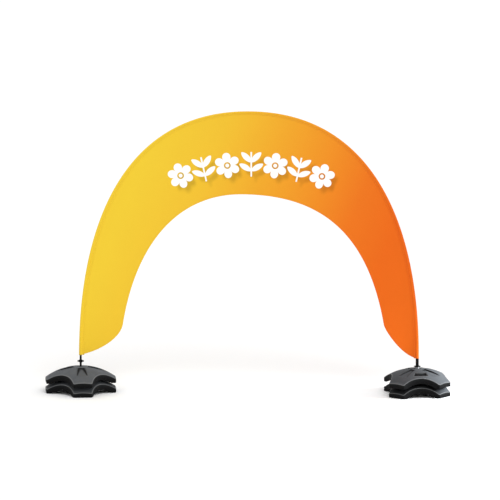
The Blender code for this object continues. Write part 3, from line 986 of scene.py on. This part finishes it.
chance = sewing.node("FunctionNodeRandomValue", {"data_type": "FLOAT"}, {
    "Min": slant * -1.0, "Max": slant, "Seed": sewing.given("Seed"),
}, output=1)
lean = sewing.node("ShaderNodeCombineXYZ", None, {1: chance})
lean_turn = sewing.node("FunctionNodeEulerToRotation", None, {0: lean})
stitch_turn = sewing.node("FunctionNodeRotateRotation", None, {0: turned, 1: lean_turn})
sewn = sewing.node("GeometryNodeInstanceOnPoints", None, {
    "Points": seam_points, "Instance": shaped_thread, "Rotation": stitch_turn,
})
sewing.deliver(sewn, thread_finish.material)


# %% Sew the hem and the pocket
def line_mesh(name, lines):
    """A mesh of edges only, one chain for each line of points."""
    mesh = bpy.data.meshes.new(name)
    points, edges = [], []
    for line in lines:
        base = len(points)
        points += [tuple(point) for point in line]
        edges += [(base + index, base + index + 1) for index in range(len(line) - 1)]
    mesh.from_pydata(points, edges, [])
    return mesh


HEM_SEAM_END = 6
POCKET_SEAM_END = 2
POCKET_SEAM_COLUMNS = (1, 3)


def seam(line, end, side):
    """A seam on the face of a sheet, short of both ends of its line. The side is 1 for the back."""
    return line[end:-end] + np.array((0, side * THREAD_LIFT, 0))


def sew(name, lines, seed):
    threads = sewing.run(name, line_mesh(name + "_lines", lines), Seed=seed)
    return finish_piece(name, threads, thread_finish.material)


hem_lines = [
    seam(face_rows[row], HEM_SEAM_END, side)
    for row in HEM_SEAM_ROWS for face_rows, side in ((FRONT_ROWS, -1), (BACK_ROWS, 1))
]
hem_stitches = sew("hem_stitches", hem_lines, 4)

pocket_lines = [
    seam(np.array([outer[flange] for outer in outer_points]), POCKET_SEAM_END, side)
    for column in POCKET_SEAM_COLUMNS for flange, side in ((column, 1), (columns - 1 - column, -1))
]
pocket_stitches = sew("pocket_stitches", pocket_lines, 9)

# %% [markdown]
# ## The bent pole
# Only the right foot of the pole shows, under the end of the pocket. The rest of it can be felt through the
# cloth. It could be lofted ring by ring, but its shape follows a rule: a circle that grows from the top of
# the bow to both feet. So Geometry Nodes sweep it along the line, chamfer its ends, and cut a socket up
# into each foot for the spindle. Its finish is a black glass-fibre tube with faint lengthwise streaks.

# %% Finish of the pole
pole_finish = Finish("black_glass_fibre", Specular_IOR_Level=0.02)
pole_x, pole_y, pole_z = pole_finish.place()
streak_place = pole_finish.vector(pole_x * 900.0, pole_y * 900.0, pole_z * 18.0)
streaks = pole_finish.noise(1.0, 2.0, point=streak_place)
pole_finish.feed(
    Base_Color=pole_finish.mix(streaks, (0.003, 0.003, 0.0033), (0.009, 0.009, 0.0095)),
    Roughness=0.42 + 0.16 * pole_finish.noise(160.0, 3.0),
)
pole_finish.bump((streaks, 0.0003, 0.3))

# %% Heights of the stack that carries the pole
WASHERS = {"left": {"radius": 0.031, "height": 0.004}, "right": {"radius": 0.023, "height": 0.014}}
RIGHT_COLLAR = {"height": 0.015, "radius": 0.037, "neck_radius": 0.020}


def cap_height(radius, chord_radius):
    """Height of a spherical cap of DOME_RISE over its rim, at a radius."""
    ball = (chord_radius ** 2 + DOME_RISE ** 2) / (2 * DOME_RISE)
    return np.sqrt(ball ** 2 - np.square(radius)) - (ball - DOME_RISE)


SEAT_HEIGHT = TIP_THICKNESS + cap_height(SEAT_RADIUS, ARM_REACH) + SEAT_STEP
STACK_HEIGHT = SEAT_HEIGHT + STACK_PITCH
WASHER_TOPS = {side: STACK_HEIGHT + GAP + sizes["height"] for side, sizes in WASHERS.items()}
RIGHT_COLLAR_TOP = WASHER_TOPS["right"] + GAP + RIGHT_COLLAR["height"]
RIGHT_FOOT_HEIGHT = RIGHT_COLLAR_TOP + GAP
print("right foot of the pole at height", round(float(RIGHT_FOOT_HEIGHT), 4))

# %% A tree that bends a tapered pole along a line
POLE_SIDES = 28
POLE_STATIONS = 240
POLE_EDGE = 0.0012
POLE_SHARP_ANGLE = math.radians(50)
SPINDLE_TOP_HEIGHT = 0.510
SOCKET_TOP = SPINDLE_TOP_HEIGHT + GAP
BELOW_FOOT = 0.01
FOOT_HEIGHTS = {"Left": BOW_START_HEIGHT, "Right": float(RIGHT_FOOT_HEIGHT)}

pole_inputs = {
    "Foot Radius": POLE_FOOT_RADIUS, "Top Radius": POLE_TOP_RADIUS, "Bow Length": float(BOW_LENGTH),
    "Edge": POLE_EDGE, "Sides": POLE_SIDES, "Socket Radius": BORE_RADIUS,
}
for side, foot_height in FOOT_HEIGHTS.items():
    low = foot_height - BELOW_FOOT
    pole_inputs[f"{side} Socket"] = (FOOT_X[side.lower()], 0.0, (low + SOCKET_TOP) / 2)
    pole_inputs[f"{side} Depth"] = SOCKET_TOP - low
bending = Tree("bend_pole_along_line", pole_inputs)
pole_curve = bending.node("GeometryNodeMeshToCurve", None, {0: bending.given("Geometry")})
along_pole = bending.node("GeometryNodeSplineParameter", output=1)
near_end = along_pole.min(bending.node("GeometryNodeSplineLength") - along_pole)
half_bow = bending.given("Bow Length") * 0.5
footward = ((along_pole - half_bow).abs() / half_bow).min(1.0)
top_radius = bending.given("Top Radius")
plain_radius = top_radius + (bending.given("Foot Radius") - top_radius) * footward
chamfer = (bending.given("Edge") - near_end).max(0.0)
pole_section = bending.node("GeometryNodeCurvePrimitiveCircle", None, {
    "Resolution": bending.given("Sides"), "Radius": 1.0,
})
pole_body = bending.node("GeometryNodeCurveToMesh", None, {
    "Curve": pole_curve, "Profile Curve": pole_section, "Fill Caps": True, "Scale": plain_radius - chamfer,
})
for side in FOOT_HEIGHTS:
    rod = bending.node("GeometryNodeMeshCylinder", None, {
        "Vertices": bending.given("Sides"), "Radius": bending.given("Socket Radius"),
        "Depth": bending.given(f"{side} Depth"),
    })
    placed_rod = bending.node("GeometryNodeTransform", None, {
        "Geometry": rod, "Translation": bending.given(f"{side} Socket"),
    })
    cut = {"operation": "DIFFERENCE", "solver": "EXACT"}
    pole_body = bending.node("GeometryNodeMeshBoolean", cut, {0: pole_body, 1: placed_rod})
bending.deliver(pole_body, pole_finish.material)

# %% Bend the pole
pole_line = respace(extended(BOW, BOW_START_HEIGHT, RIGHT_FOOT_HEIGHT)[1:], np.linspace(0, 1, POLE_STATIONS))
pole_line = np.concatenate([
    pole_line[:1], pole_line[:1] + (0, POLE_EDGE), pole_line[1:-1],
    pole_line[-1:] + (0, POLE_EDGE), pole_line[-1:],
])
upright_line = np.stack([pole_line[:, 0], np.zeros(len(pole_line)), pole_line[:, 1]], axis=1)
pole_mesh = bending.run("bent_pole", line_mesh("pole_line", [upright_line]))
pole = finish_piece("bent_pole", pole_mesh, pole_finish.material, ["bow_pole"])
pole.data.set_sharp_from_angle(angle=POLE_SHARP_ANGLE)

# %% [markdown]
# ## Base plates
# Each plate is a moulded, water-filled shell: a shallow dome cut to four arms, with scalloped sides, a long
# sunken flute in each arm and one recess between two arms. Booleans cut such a form quickly, but leave
# knife edges. A polar grid is better: its spokes and rings are set close together where an edge has to be
# crisp or rounded, and one height rule sinks the flutes and the recess. The rounded rims are marked in an
# attribute, so that the finish paints them lighter, part wear and part painted highlight. A second attribute
# holds painted shade: dark bands in the flutes and the recess, and darkening of the lower plates and of the
# left of the right base.

# %% Finish of the plates
plate_finish = Finish("grained_black_plastic", Specular_IOR_Level=0.07)
facing = plate_finish.place("Normal")[2]
# Two point attributes: rim marks, for wear and a painted highlight, and a share of painted shade.
rim_wear_and_highlight = plate_finish.attribute("rim")
painted_shade_share = plate_finish.attribute("grime")
grain = plate_finish.noise(700.0, 2.0, 0.6)
cloudy = plate_finish.noise(9.0, 4.0, 0.6)
scuffs = plate_finish.noise(55.0, 5.0, 0.7)
# Painted light: faces that look up are painted lighter, part dust and part painted light from above; painted
# shade darkens them again.
dust_and_top_light = facing.between(0.30, 0.97) * (0.72 + 0.45 * cloudy) * (1.0 - 0.95 * painted_shade_share)
# Rims are painted lighter on faces that look up: part wear, part painted highlight.
wear_and_highlight = rim_wear_and_highlight * (0.55 + 0.8 * scuffs) * facing.between(-0.2, 0.6) * (1.0 - 0.45 * painted_shade_share)
moulded = plate_finish.mix(dust_and_top_light, (0.0030, 0.0030, 0.0033), (0.102, 0.108, 0.116))
rubbed_and_highlit = plate_finish.mix((wear_and_highlight * 0.75).min(1.0), moulded, (0.19, 0.193, 0.195))
plate_finish.feed(
    Base_Color=plate_finish.scale_colour(rubbed_and_highlit, 0.90 + 0.20 * grain),
    Roughness=0.52 + 0.16 * grain - 0.12 * rim_wear_and_highlight,
)
plate_finish.bump((scuffs, 0.0006, 0.15), (grain, 0.0004, 0.35))

# %% Outline of a plate
OUTLINE_SPACING = 0.0015
CORNER_SOFTNESS = 0.0085
CORNER_REACH = 4
ARC_SAMPLES = 120


def spin(angle):
    """The matrix that turns rows of points (x, y) by an angle."""
    return np.array(((math.cos(angle), math.sin(angle)), (-math.sin(angle), math.cos(angle))))


def plate_outline():
    """Closely spaced points (x, y) of the four arms and scallops, with rounded corners."""
    half = ARM_TIP_WIDTH / 2
    start, end = np.array((ARM_REACH, half)), np.array((half, ARM_REACH))
    middle = (start + end) / 2
    half_chord = np.linalg.norm(end - start) / 2
    depth = np.linalg.norm(middle) - SCALLOP_REACH
    arc_radius = (half_chord ** 2 + depth ** 2) / (2 * depth)
    outward = middle / np.linalg.norm(middle)
    across = (end - start) / (2 * half_chord)
    centre = outward * (SCALLOP_REACH + arc_radius)
    spread = math.asin(half_chord / arc_radius)
    angles = np.linspace(-spread, spread, ARC_SAMPLES)
    quarter = centre - np.outer(np.cos(angles), outward) * arc_radius
    quarter = quarter + np.outer(np.sin(angles), across) * arc_radius
    quarters = [quarter @ spin(math.pi / 2 * arm) for arm in range(4)]
    sharp = np.concatenate(quarters + [quarter[:1]])
    count = int(length_along(sharp)[-1] / OUTLINE_SPACING)
    even = respace(sharp, np.linspace(0, 1, count, endpoint=False))
    reach = int(CORNER_REACH * CORNER_SOFTNESS / OUTLINE_SPACING)
    offsets = np.arange(-reach, reach + 1)
    weights = np.exp(-0.5 * (offsets * OUTLINE_SPACING / CORNER_SOFTNESS) ** 2)
    weights /= weights.sum()
    return sum(weight * np.roll(even, offset, axis=0) for weight, offset in zip(weights, offsets))


def around(values, angles, period=2 * math.pi):
    """Interpolate values given at closed, rising angles."""
    order = np.argsort(angles % period)
    known, given = (angles % period)[order], values[order]
    known = np.concatenate([known[-1:] - period, known, known[:1] + period])
    given = np.concatenate([given[-1:], given, given[:1]])
    return lambda wanted: np.interp(np.asarray(wanted) % period, known, given)


outline = plate_outline()
outline_angles = np.arctan2(outline[:, 1], outline[:, 0])
outline_ways = np.roll(outline, -1, axis=0) - np.roll(outline, 1, axis=0)
outline_ways /= np.linalg.norm(outline_ways, axis=1)[:, None]
outline_reach = around(np.linalg.norm(outline, axis=1), outline_angles)
outline_normal_x = around(outline_ways[:, 1], outline_angles)
outline_normal_y = around(-outline_ways[:, 0], outline_angles)
print("plate outline", len(outline), "points, reach", round(float(outline_reach(0.0)), 4), "m")

# %% Spokes, rings and sunken places
# For the flutes and the recess: the share of painted shade on their floors, and the strength of their light
# rim line (part wear, part painted highlight).
FLUTE = {
    "inner": 0.080, "outer": 0.262, "inner_half_width": 0.028, "outer_half_width": 0.056,
    "inner_depth": 0.008, "outer_depth": 0.001, "grime": 0.12, "rim": 0.3,
}
RECESS = {
    "inner": 0.165, "outer": 0.226, "inner_half_width": 0.0562, "outer_half_width": 0.0769,
    "inner_depth": 0.013, "outer_depth": 0.013, "grime": 1.0, "rim": 1.0, "direction": -42.5,
}
EDGE_SPREAD = 0.0032
DEEP = 0.006
# Light rim marks, part wear and part painted highlight: along the sunken edges, and round the outer rim.
RIM_MARK = {"outside": 0.0012, "spread": 0.0016, "curve": 0.7, "last": 0.15}
# Width of the painted shade inside the flute and recess walls: wide at the hub, narrow outwards.
WALL_PAINTED_SHADE = {"inner": 0.0230, "outer": 0.0060, "fall": 1.6}
# Painted shade over each whole plate, at its left and its right arm. The lower plates are painted darker
# under the upper ones, and the right base is darker on its left than towards its right arm.
PLATE_PAINTED_SHADE = {
    "left": {"upper": (0.0, 0.0), "lower": (0.50, 0.50)},
    "right": {"upper": (0.40, 0.0), "lower": (0.97, 0.10)},
}
PAINTED_SHADE_SPANS = {"upper": (-0.05, 0.27), "lower": (0.17, 0.30)}
RIM_RADIUS = 0.009
RIM_STEPS = 5
DOME_RINGS = 4
FLUTE_SPOKE = 11.6
LAST_TURNED_SPOKE = {"near_hub": 36.0, "outside": 21.5}
HUB_FADE = (0.10, 0.15)
HALF_SPOKES = [
    0, 2.5, 5, 7.5, 9.6, 10.8, 11.2, FLUTE_SPOKE, 12.0, 12.4, 13.0, 13.6, 14.2, 14.8, 15.4, 16.0, 16.8,
    17.6, 18.6, 20, 21.5, 22.2, 22.6, 23.0, 23.4, 23.8, 25, 26.5, 27.2, 27.6, 28.0, 28.4, 28.8, 30, 32,
    34, 36, 38, 40, 42, 43.5,
]
FIXED_RING = 0.2285
TOP_RINGS = [
    0.0775, 0.0788, 0.0800, 0.0812, 0.0825, 0.095, 0.110, 0.125, 0.140, 0.153,
    0.1625, 0.1638, 0.1650, 0.1662, 0.1675, 0.180, 0.195, 0.210,
    0.2235, 0.2248, 0.2260, 0.2272, FIXED_RING, 0.246, 0.2590, 0.2605, 0.2620, 0.2635, 0.2650,
]
UNDER_RINGS = [FOOT_INNER_RADIUS, 0.325, 0.305, 0.280, 0.250, 0.215, 0.175, 0.135, 0.100, 0.078]

half_set = sorted(set(HALF_SPOKES) | {45.0})
quarter_set = sorted({-angle for angle in half_set[1:-1]} | set(half_set))
SPOKES = np.radians(np.sort(np.array([
    angle + 90 * turn for turn in range(4) for angle in quarter_set
]) % 360.0))


def top_height(radius):
    """Height of the dome above the plate's feet."""
    return TIP_THICKNESS + cap_height(radius, ARM_REACH)


def edge_step(distance):
    """0 outside an edge and 1 inside it, with a rounded slope of EDGE_SPREAD on each side."""
    return ease(distance, -EDGE_SPREAD / 2, EDGE_SPREAD / 2)


def turned_away(angles, direction):
    """How far angles are from a direction, in radians."""
    return np.abs((angles - direction + math.pi) % (2 * math.pi) - math.pi)


def half_width(shape, radius):
    """Half the width of a flute or of the recess at a radius, along the arc."""
    share = np.clip((radius - shape["inner"]) / (shape["outer"] - shape["inner"]), 0, 1)
    return shape["inner_half_width"] * (1 - share) + shape["outer_half_width"] * share


def turned_spokes(radius):
    """The spokes' angles on a ring, turned so that one pair follows each flute's sides."""
    reach = max(radius, FLUTE["inner"])
    wall = math.degrees(half_width(FLUTE, reach) / reach)
    hubward = 1 - ease(reach, *HUB_FADE)
    last = LAST_TURNED_SPOKE["outside"] * (1 - hubward) + LAST_TURNED_SPOKE["near_hub"] * hubward
    degrees = np.degrees(SPOKES)
    arm = np.round(degrees / 90) * 90
    away = degrees - arm
    turned = np.interp(np.abs(away), (0, FLUTE_SPOKE, last, 45), (0, wall, last, 45))
    return np.radians(arm + np.sign(away) * turned)


def sunken(radius, angles):
    """Depth of the flutes and the recess below the dome, their rim marks (part wear, part painted highlight)
    and their painted shade.
    """
    depth, rim, shade = (np.zeros_like(angles) for _ in range(3))
    shapes = [(math.pi / 2 * arm, FLUTE) for arm in range(4)]
    shapes.append((math.radians(RECESS["direction"]), RECESS))
    for direction, shape in shapes:
        inner, outer = shape["inner"], shape["outer"]
        side = half_width(shape, radius) - turned_away(angles, direction) * radius
        near = np.minimum(np.minimum(radius - inner, outer - radius), side)
        inside = edge_step(near)
        share = np.clip((radius - inner) / (outer - inner), 0, 1)
        inner_floor = top_height(inner) - shape["inner_depth"]
        outer_floor = top_height(outer) - shape["outer_depth"]
        below = top_height(radius) - (inner_floor + (outer_floor - inner_floor) * share)
        depth = np.maximum(depth, inside * below)
        deep = np.minimum(1.0, below / DEEP)
        # A light line just outside each sunken edge: part wear, part painted highlight.
        on_rim = np.exp(-((near + RIM_MARK["outside"]) / RIM_MARK["spread"]) ** 2)
        rim = np.maximum(rim, on_rim * deep * shape["rim"])
        # Painted shade: a dark band inside each wall, wider towards the hub, added to the floor's own share
        # of painted shade.
        widening = WALL_PAINTED_SHADE["inner"] - WALL_PAINTED_SHADE["outer"]
        spread = WALL_PAINTED_SHADE["outer"] + widening * (1 - share) ** WALL_PAINTED_SHADE["fall"]
        wall = np.exp(-((near - spread / 3) / spread) ** 2) * deep
        shade = np.maximum(shade, np.maximum(wall, inside * shape["grime"]))
    return depth, rim, shade


# %% Build one plate
SEAT_EDGE = {"across": 0.001, "down": 0.0005, "marks": (0.2, 0.6)}
BORE_CHAMFER = 0.001
HUB_CHAMFER = 0.0015
RING_SQUEEZE = 0.80
SIDE_SHARE = 0.45
FOOT_ROUND = 0.003
FOOT_SOFT = FOOT_ROUND * 0.3
UNDER_GAP = 0.002


def on_spokes(angles, radius):
    """Points (x, y) at a radius on each spoke."""
    return np.stack([np.cos(angles) * radius, np.sin(angles) * radius], axis=1)


def under_height(radius):
    """Height of the hollow underside, which is 0 beyond the inner edge of the feet."""
    hollow = cap_height(np.minimum(radius, FOOT_INNER_RADIUS), FOOT_INNER_RADIUS)
    return np.where(radius < FOOT_INNER_RADIUS, hollow, 0.0)


def plate_grid():
    """Points, rim marks (wear and painted highlight), painted shade and faces of one plate, its feet at
    height 0 and its arms along x and y.
    """
    rows, marks, painted_shades = [], [], []

    def add_ring(place, z, mark=0.0, grime=0.0):
        rows.append(np.column_stack([place, np.broadcast_to(z, len(place))]))
        marks.append(np.broadcast_to(mark, len(place)))
        painted_shades.append(np.broadcast_to(grime, len(place)))

    def add_round(radius, z):
        add_ring(on_spokes(SPOKES, radius), z)

    def add_turned(radius, z, mark=0.0, grime=0.0, ring=0.0):
        add_ring(on_spokes(turned_spokes(ring), radius), z, mark, grime)

    add_round(BORE_RADIUS + BORE_CHAMFER, SEAT_HEIGHT)
    # The seat's edge gets light marks: part wear, part painted highlight.
    add_turned(SEAT_RADIUS - SEAT_EDGE["across"], SEAT_HEIGHT, SEAT_EDGE["marks"][0])
    add_turned(SEAT_RADIUS, SEAT_HEIGHT - SEAT_EDGE["down"], SEAT_EDGE["marks"][1])
    shoulder = SEAT_RADIUS + SEAT_SHOULDER
    add_turned(shoulder, top_height(shoulder))

    reach = outline_reach(SPOKES)
    edge = on_spokes(SPOKES, reach)
    normal = np.stack([outline_normal_x(SPOKES), outline_normal_y(SPOKES)], axis=1)
    normal /= np.linalg.norm(normal, axis=1)[:, None]
    inner_edge = edge - normal * RIM_RADIUS
    inner_reach = np.linalg.norm(inner_edge, axis=1)
    squeeze = np.minimum(1.0, RING_SQUEEZE * (inner_reach - FIXED_RING) / (TOP_RINGS[-1] - FIXED_RING))
    for ring in TOP_RINGS:
        radius = ring if ring <= FIXED_RING else FIXED_RING + (ring - FIXED_RING) * squeeze
        radius = np.broadcast_to(radius, SPOKES.shape)
        depth, rim, shade = sunken(radius, turned_spokes(ring))
        add_turned(radius, top_height(radius) - depth, rim, shade, ring)
    last_place = rows[-1][:, :2]
    for step in range(1, DOME_RINGS + 1):
        share = step / DOME_RINGS
        place = last_place * (1 - share) + inner_edge * share
        add_ring(place, top_height(np.linalg.norm(place, axis=1)))
    crest = top_height(inner_reach)
    for step in range(1, RIM_STEPS + 1):
        angle = math.pi / 2 * step / RIM_STEPS
        place = edge - normal * RIM_RADIUS * (1 - math.sin(angle))
        drop = RIM_RADIUS * (1 - math.cos(angle))
        # The rounded rim gets a light mark, strongest half way round: part wear, part painted highlight.
        mark = math.sin(2 * angle) ** RIM_MARK["curve"] if step < RIM_STEPS else RIM_MARK["last"]
        add_ring(place, crest - drop, mark)

    under = under_height(reach)
    add_ring(edge, (crest - RIM_RADIUS) * SIDE_SHARE + (under + FOOT_ROUND) * (1 - SIDE_SHARE))
    add_ring(edge, under + FOOT_ROUND)
    add_ring(edge - normal * FOOT_SOFT, under + FOOT_SOFT)
    low_edge = edge - normal * FOOT_ROUND
    low_reach = np.linalg.norm(low_edge, axis=1)
    add_ring(low_edge, under_height(low_reach))
    fit = np.minimum(1.0, (low_reach - UNDER_GAP - HUB_RADIUS) / (FOOT_INNER_RADIUS - HUB_RADIUS))
    for ring in UNDER_RINGS:
        radius = HUB_RADIUS + (ring - HUB_RADIUS) * fit
        add_round(radius, under_height(radius))
    hub_bottom = SEAT_HEIGHT - STACK_PITCH + GAP
    add_round(HUB_RADIUS, cap_height(HUB_RADIUS, FOOT_INNER_RADIUS))
    add_round(HUB_RADIUS, hub_bottom + HUB_CHAMFER)
    add_round(HUB_RADIUS - HUB_CHAMFER, hub_bottom)
    add_round(BORE_RADIUS + BORE_CHAMFER, hub_bottom)
    add_round(BORE_RADIUS, hub_bottom + BORE_CHAMFER)
    add_round(BORE_RADIUS, SEAT_HEIGHT - BORE_CHAMFER)
    faces = join_rows(len(rows), len(SPOKES), closed_rows=True, closed_columns=True)
    return np.concatenate(rows), np.concatenate(marks), np.concatenate(painted_shades), faces


plate_points, plate_marks, plate_painted_shade, plate_faces = plate_grid()


def add_plate(side, level, name):
    place = plate_points.copy()
    place[:, :2] = place[:, :2] @ spin(math.radians(PLATE_TURNS[side]))
    place += (FOOT_X[side], 0, level * STACK_PITCH)
    plate = add_piece(
        f"{side}_{name}_base", place, plate_faces, plate_finish.material,
        [f"{side}_{name}_plate"],
    )
    # Painted shade across the plate, from its left to its right arm, joined to the painted shade of its
    # sunken places.
    near_left, near_right = PLATE_PAINTED_SHADE[side][name]
    rightward = ease(place[:, 0] - FOOT_X[side], *PAINTED_SHADE_SPANS[name])
    grime = np.maximum(plate_painted_shade, near_left * (1 - rightward) + near_right * rightward)
    # The rim attribute carries wear and a painted highlight; the other one carries painted shade.
    for label, values in (("rim", plate_marks), ("grime", grime)):
        marks = plate.data.attributes.new(label, "FLOAT", "POINT")
        marks.data.foreach_set("value", values.astype(np.float32))


for side in FOOT_X:
    for level, name in enumerate(("lower", "upper")):
        add_plate(side, level, name)

# %% [markdown]
# ## Turned fittings
# Spindles, washers and the right collar are turned parts, so each is a profile spun round its axis by the
# Screw modifier, with small chamfers where a lathe or a mould leaves them. The left collar has two wings,
# which are small bevelled blades that start inside its wall and are joined to it with a Boolean.

# %% Finishes of the fittings
fitting_finish = Finish("moulded_black", Specular_IOR_Level=0.05)
fitting_grain = fitting_finish.noise(600.0, 2.0)
fitting_wear = fitting_finish.noise(90.0, 4.0)
fitting_finish.feed(
    Base_Color=fitting_finish.mix(fitting_wear, (0.003, 0.003, 0.003), (0.010, 0.010, 0.0105)),
    Roughness=0.55 + 0.20 * fitting_grain,
)
fitting_finish.bump((fitting_grain, 0.0003, 0.3))

spindle_finish = Finish("coated_steel", Specular_IOR_Level=0.05)
turned_lines = (spindle_finish.place()[2] * 5200.0).sin()
spindle_wear = spindle_finish.noise(120.0, 4.0, 0.7).between(0.60, 0.72)
spindle_finish.feed(
    Base_Color=spindle_finish.mix(spindle_wear, (0.003, 0.003, 0.0033), (0.05, 0.05, 0.05)),
    Roughness=0.50 - 0.12 * spindle_wear,
    Metallic=0.5 * spindle_wear,
)
spindle_finish.bump((turned_lines, 0.0001, 0.15))

washer_finish = Finish("zinc_plate", Metallic=1.0)
washer_x, washer_y, _ = washer_finish.place()
from_foot_x = (washer_x - MIDDLE_SHIFT).abs() - POLE_SPACING / 2
from_axis = (from_foot_x * from_foot_x + washer_y * washer_y).sqrt()
brushed = (from_axis * 9000.0).sin() * 0.5 + 0.5
spangle = washer_finish.noise(260.0, 3.0)
zinc = washer_finish.mix(spangle, (0.22, 0.225, 0.235), (0.31, 0.315, 0.32))
# Painted shade: the left washer is painted darker than the right one.
side_painted_shade = 1.0 - 0.62 * (washer_x - MIDDLE_SHIFT).between(0.5, -0.5)
washer_finish.feed(
    Base_Color=washer_finish.scale_colour(zinc, side_painted_shade),
    Roughness=0.34 + 0.14 * spangle + 0.06 * brushed,
)
washer_finish.bump((brushed, 0.0001, 0.2))

# %% Turn the fittings
TURNED_STEPS = 56
TURNED_WELD = 0.00001
SHARP_ANGLE = math.radians(35)
SPINDLE_RADIUS = 0.011
SPINDLE_HEAD = {"radius": 0.032, "height": 0.006}
SPINDLE_CHAMFER = 0.0012
WASHER_EDGE = {"bore": 0.0004, "top": 0.0012, "corner": (0.0003, 0.0004), "side": 0.0014, "bottom": 0.0006}
FLANGE_RIM = {"round": 0.003, "steps": 6, "share": 0.10}
FLANGE_EDGE = 0.001


def turned_mesh(name, profile, x):
    """A closed ring of (radius, height) points turned round an upright axis at x."""
    mesh = bpy.data.meshes.new(name)
    edges = [(index, (index + 1) % len(profile)) for index in range(len(profile))]
    mesh.from_pydata([(radius, 0, height) for radius, height in profile], edges, [])
    made = modified(name, mesh, ("SCREW", {
        "steps": TURNED_STEPS, "render_steps": TURNED_STEPS,
        "use_merge_vertices": True, "merge_threshold": TURNED_WELD,
    }))
    made.transform(Matrix.Translation((x, 0, 0)))
    return made


def fitting_piece(name, mesh, finish, node):
    piece = finish_piece(name, mesh, finish.material, [node])
    piece.data.set_sharp_from_angle(angle=SHARP_ANGLE)


def spindle_profile():
    top, head_top = SPINDLE_TOP_HEIGHT, SEAT_HEIGHT - STACK_PITCH
    head_bottom = head_top - SPINDLE_HEAD["height"]
    head, cut = SPINDLE_HEAD["radius"], SPINDLE_CHAMFER
    return [
        (0.0, top), (SPINDLE_RADIUS - cut, top), (SPINDLE_RADIUS, top - cut), (SPINDLE_RADIUS, head_top),
        (head - cut, head_top), (head, head_top - cut), (head, head_bottom + cut),
        (head - cut, head_bottom), (0.0, head_bottom),
    ]


def washer_profile(side):
    radius, top, bottom, edge = WASHERS[side]["radius"], WASHER_TOPS[side], STACK_HEIGHT + GAP, WASHER_EDGE
    return [
        (BORE_RADIUS + edge["bore"], top), (radius - edge["top"], top),
        (radius - edge["corner"][0], top - edge["corner"][1]), (radius, top - edge["side"]),
        (radius, bottom + edge["bottom"]), (radius - edge["bottom"], bottom),
        (BORE_RADIUS, bottom), (BORE_RADIUS, top - edge["bore"]),
    ]


def flange_profile():
    """A short neck with a rounded rim standing out round its middle."""
    top, height, neck = RIGHT_COLLAR_TOP, RIGHT_COLLAR["height"], RIGHT_COLLAR["neck_radius"]
    bottom, edge, rim = top - height, FLANGE_EDGE, FLANGE_RIM["round"]
    profile = [(BORE_RADIUS, top), (neck - edge, top), (neck, top - edge)]
    for step in range(FLANGE_RIM["steps"] + 1):
        angle = math.pi / 2 - math.pi * step / FLANGE_RIM["steps"]
        profile.append((
            RIGHT_COLLAR["radius"] - rim + rim * math.cos(angle),
            bottom + height * 0.5 + (height * FLANGE_RIM["share"] + edge) * math.sin(angle),
        ))
    return profile + [(neck, bottom + edge), (neck - edge, bottom), (BORE_RADIUS, bottom)]


for side, x in FOOT_X.items():
    pin_mesh = turned_mesh(f"{side}_pin", spindle_profile(), x)
    fitting_piece(f"{side}_pin", pin_mesh, spindle_finish, f"{side}_spindle")
    disc_mesh = turned_mesh(f"{side}_disc", washer_profile(side), x)
    fitting_piece(f"{side}_disc", disc_mesh, washer_finish, f"{side}_washer")
flange_mesh = turned_mesh("right_flange", flange_profile(), FOOT_X["right"])
fitting_piece("right_flange", flange_mesh, fitting_finish, "right_collar")

# %% Build the winged collar
LEFT_COLLAR = {
    "above_stack": 0.057, "height": 0.027, "ring_radius": 0.018,
    "span": 0.068, "tip_height": 0.013, "thickness": 0.010, "wing_step": 0.002,
}
RING_EDGE = {"wide": 0.002, "corner": 0.0006}
BLADE_FACES = [(0, 1, 2, 3), (7, 6, 5, 4), (0, 4, 5, 1), (1, 5, 6, 2), (2, 6, 7, 3), (3, 7, 4, 0)]
WING_EDGES = {"width": 0.0028, "segments": 3, "limit_method": "ANGLE"}
WING_START = 0.0135
COLLAR_HEIGHT = STACK_HEIGHT + LEFT_COLLAR["above_stack"]


def ring_profile():
    radius, wide, corner = LEFT_COLLAR["ring_radius"], RING_EDGE["wide"], RING_EDGE["corner"]
    top, bottom = (COLLAR_HEIGHT + sign * LEFT_COLLAR["height"] / 2 for sign in (1, -1))
    return [
        (BORE_RADIUS, top), (radius - wide, top), (radius - corner, top - corner), (radius, top - wide),
        (radius, bottom + wide), (radius - corner, bottom + corner), (radius - wide, bottom),
        (BORE_RADIUS, bottom),
    ]


def blade(sign):
    """A bevelled wing on one side, as an object that a Boolean can read."""
    half_span, half_tip = LEFT_COLLAR["span"] / 2, LEFT_COLLAR["tip_height"] / 2
    half_thick = LEFT_COLLAR["thickness"] / 2
    root = LEFT_COLLAR["height"] / 2 - LEFT_COLLAR["wing_step"]
    half_start = root + (half_tip - root) * WING_START / half_span
    corners = [
        (sign * WING_START, -half_start), (sign * half_span, -half_tip),
        (sign * half_span, half_tip), (sign * WING_START, half_start),
    ]
    mesh = bpy.data.meshes.new("wing")
    mesh.from_pydata([
        (FOOT_X["left"] + x, y, COLLAR_HEIGHT + z) for y in (-half_thick, half_thick) for x, z in corners
    ], [], BLADE_FACES)
    face_outwards(mesh)
    return place_object("wing", modified("wing", mesh, ("BEVEL", WING_EDGES)))


ring_mesh = turned_mesh("collar_ring", ring_profile(), FOOT_X["left"])
face_outwards(ring_mesh)
wings = [blade(sign) for sign in (-1, 1)]
winged_mesh = modified("winged_collar", ring_mesh, *[
    ("BOOLEAN", {"operation": "UNION", "solver": "EXACT", "object": wing}) for wing in wings
])
for wing in wings:
    bpy.data.objects.remove(wing, do_unlink=True)
fitting_piece("winged_clamp", winged_mesh, fitting_finish, "left_collar")
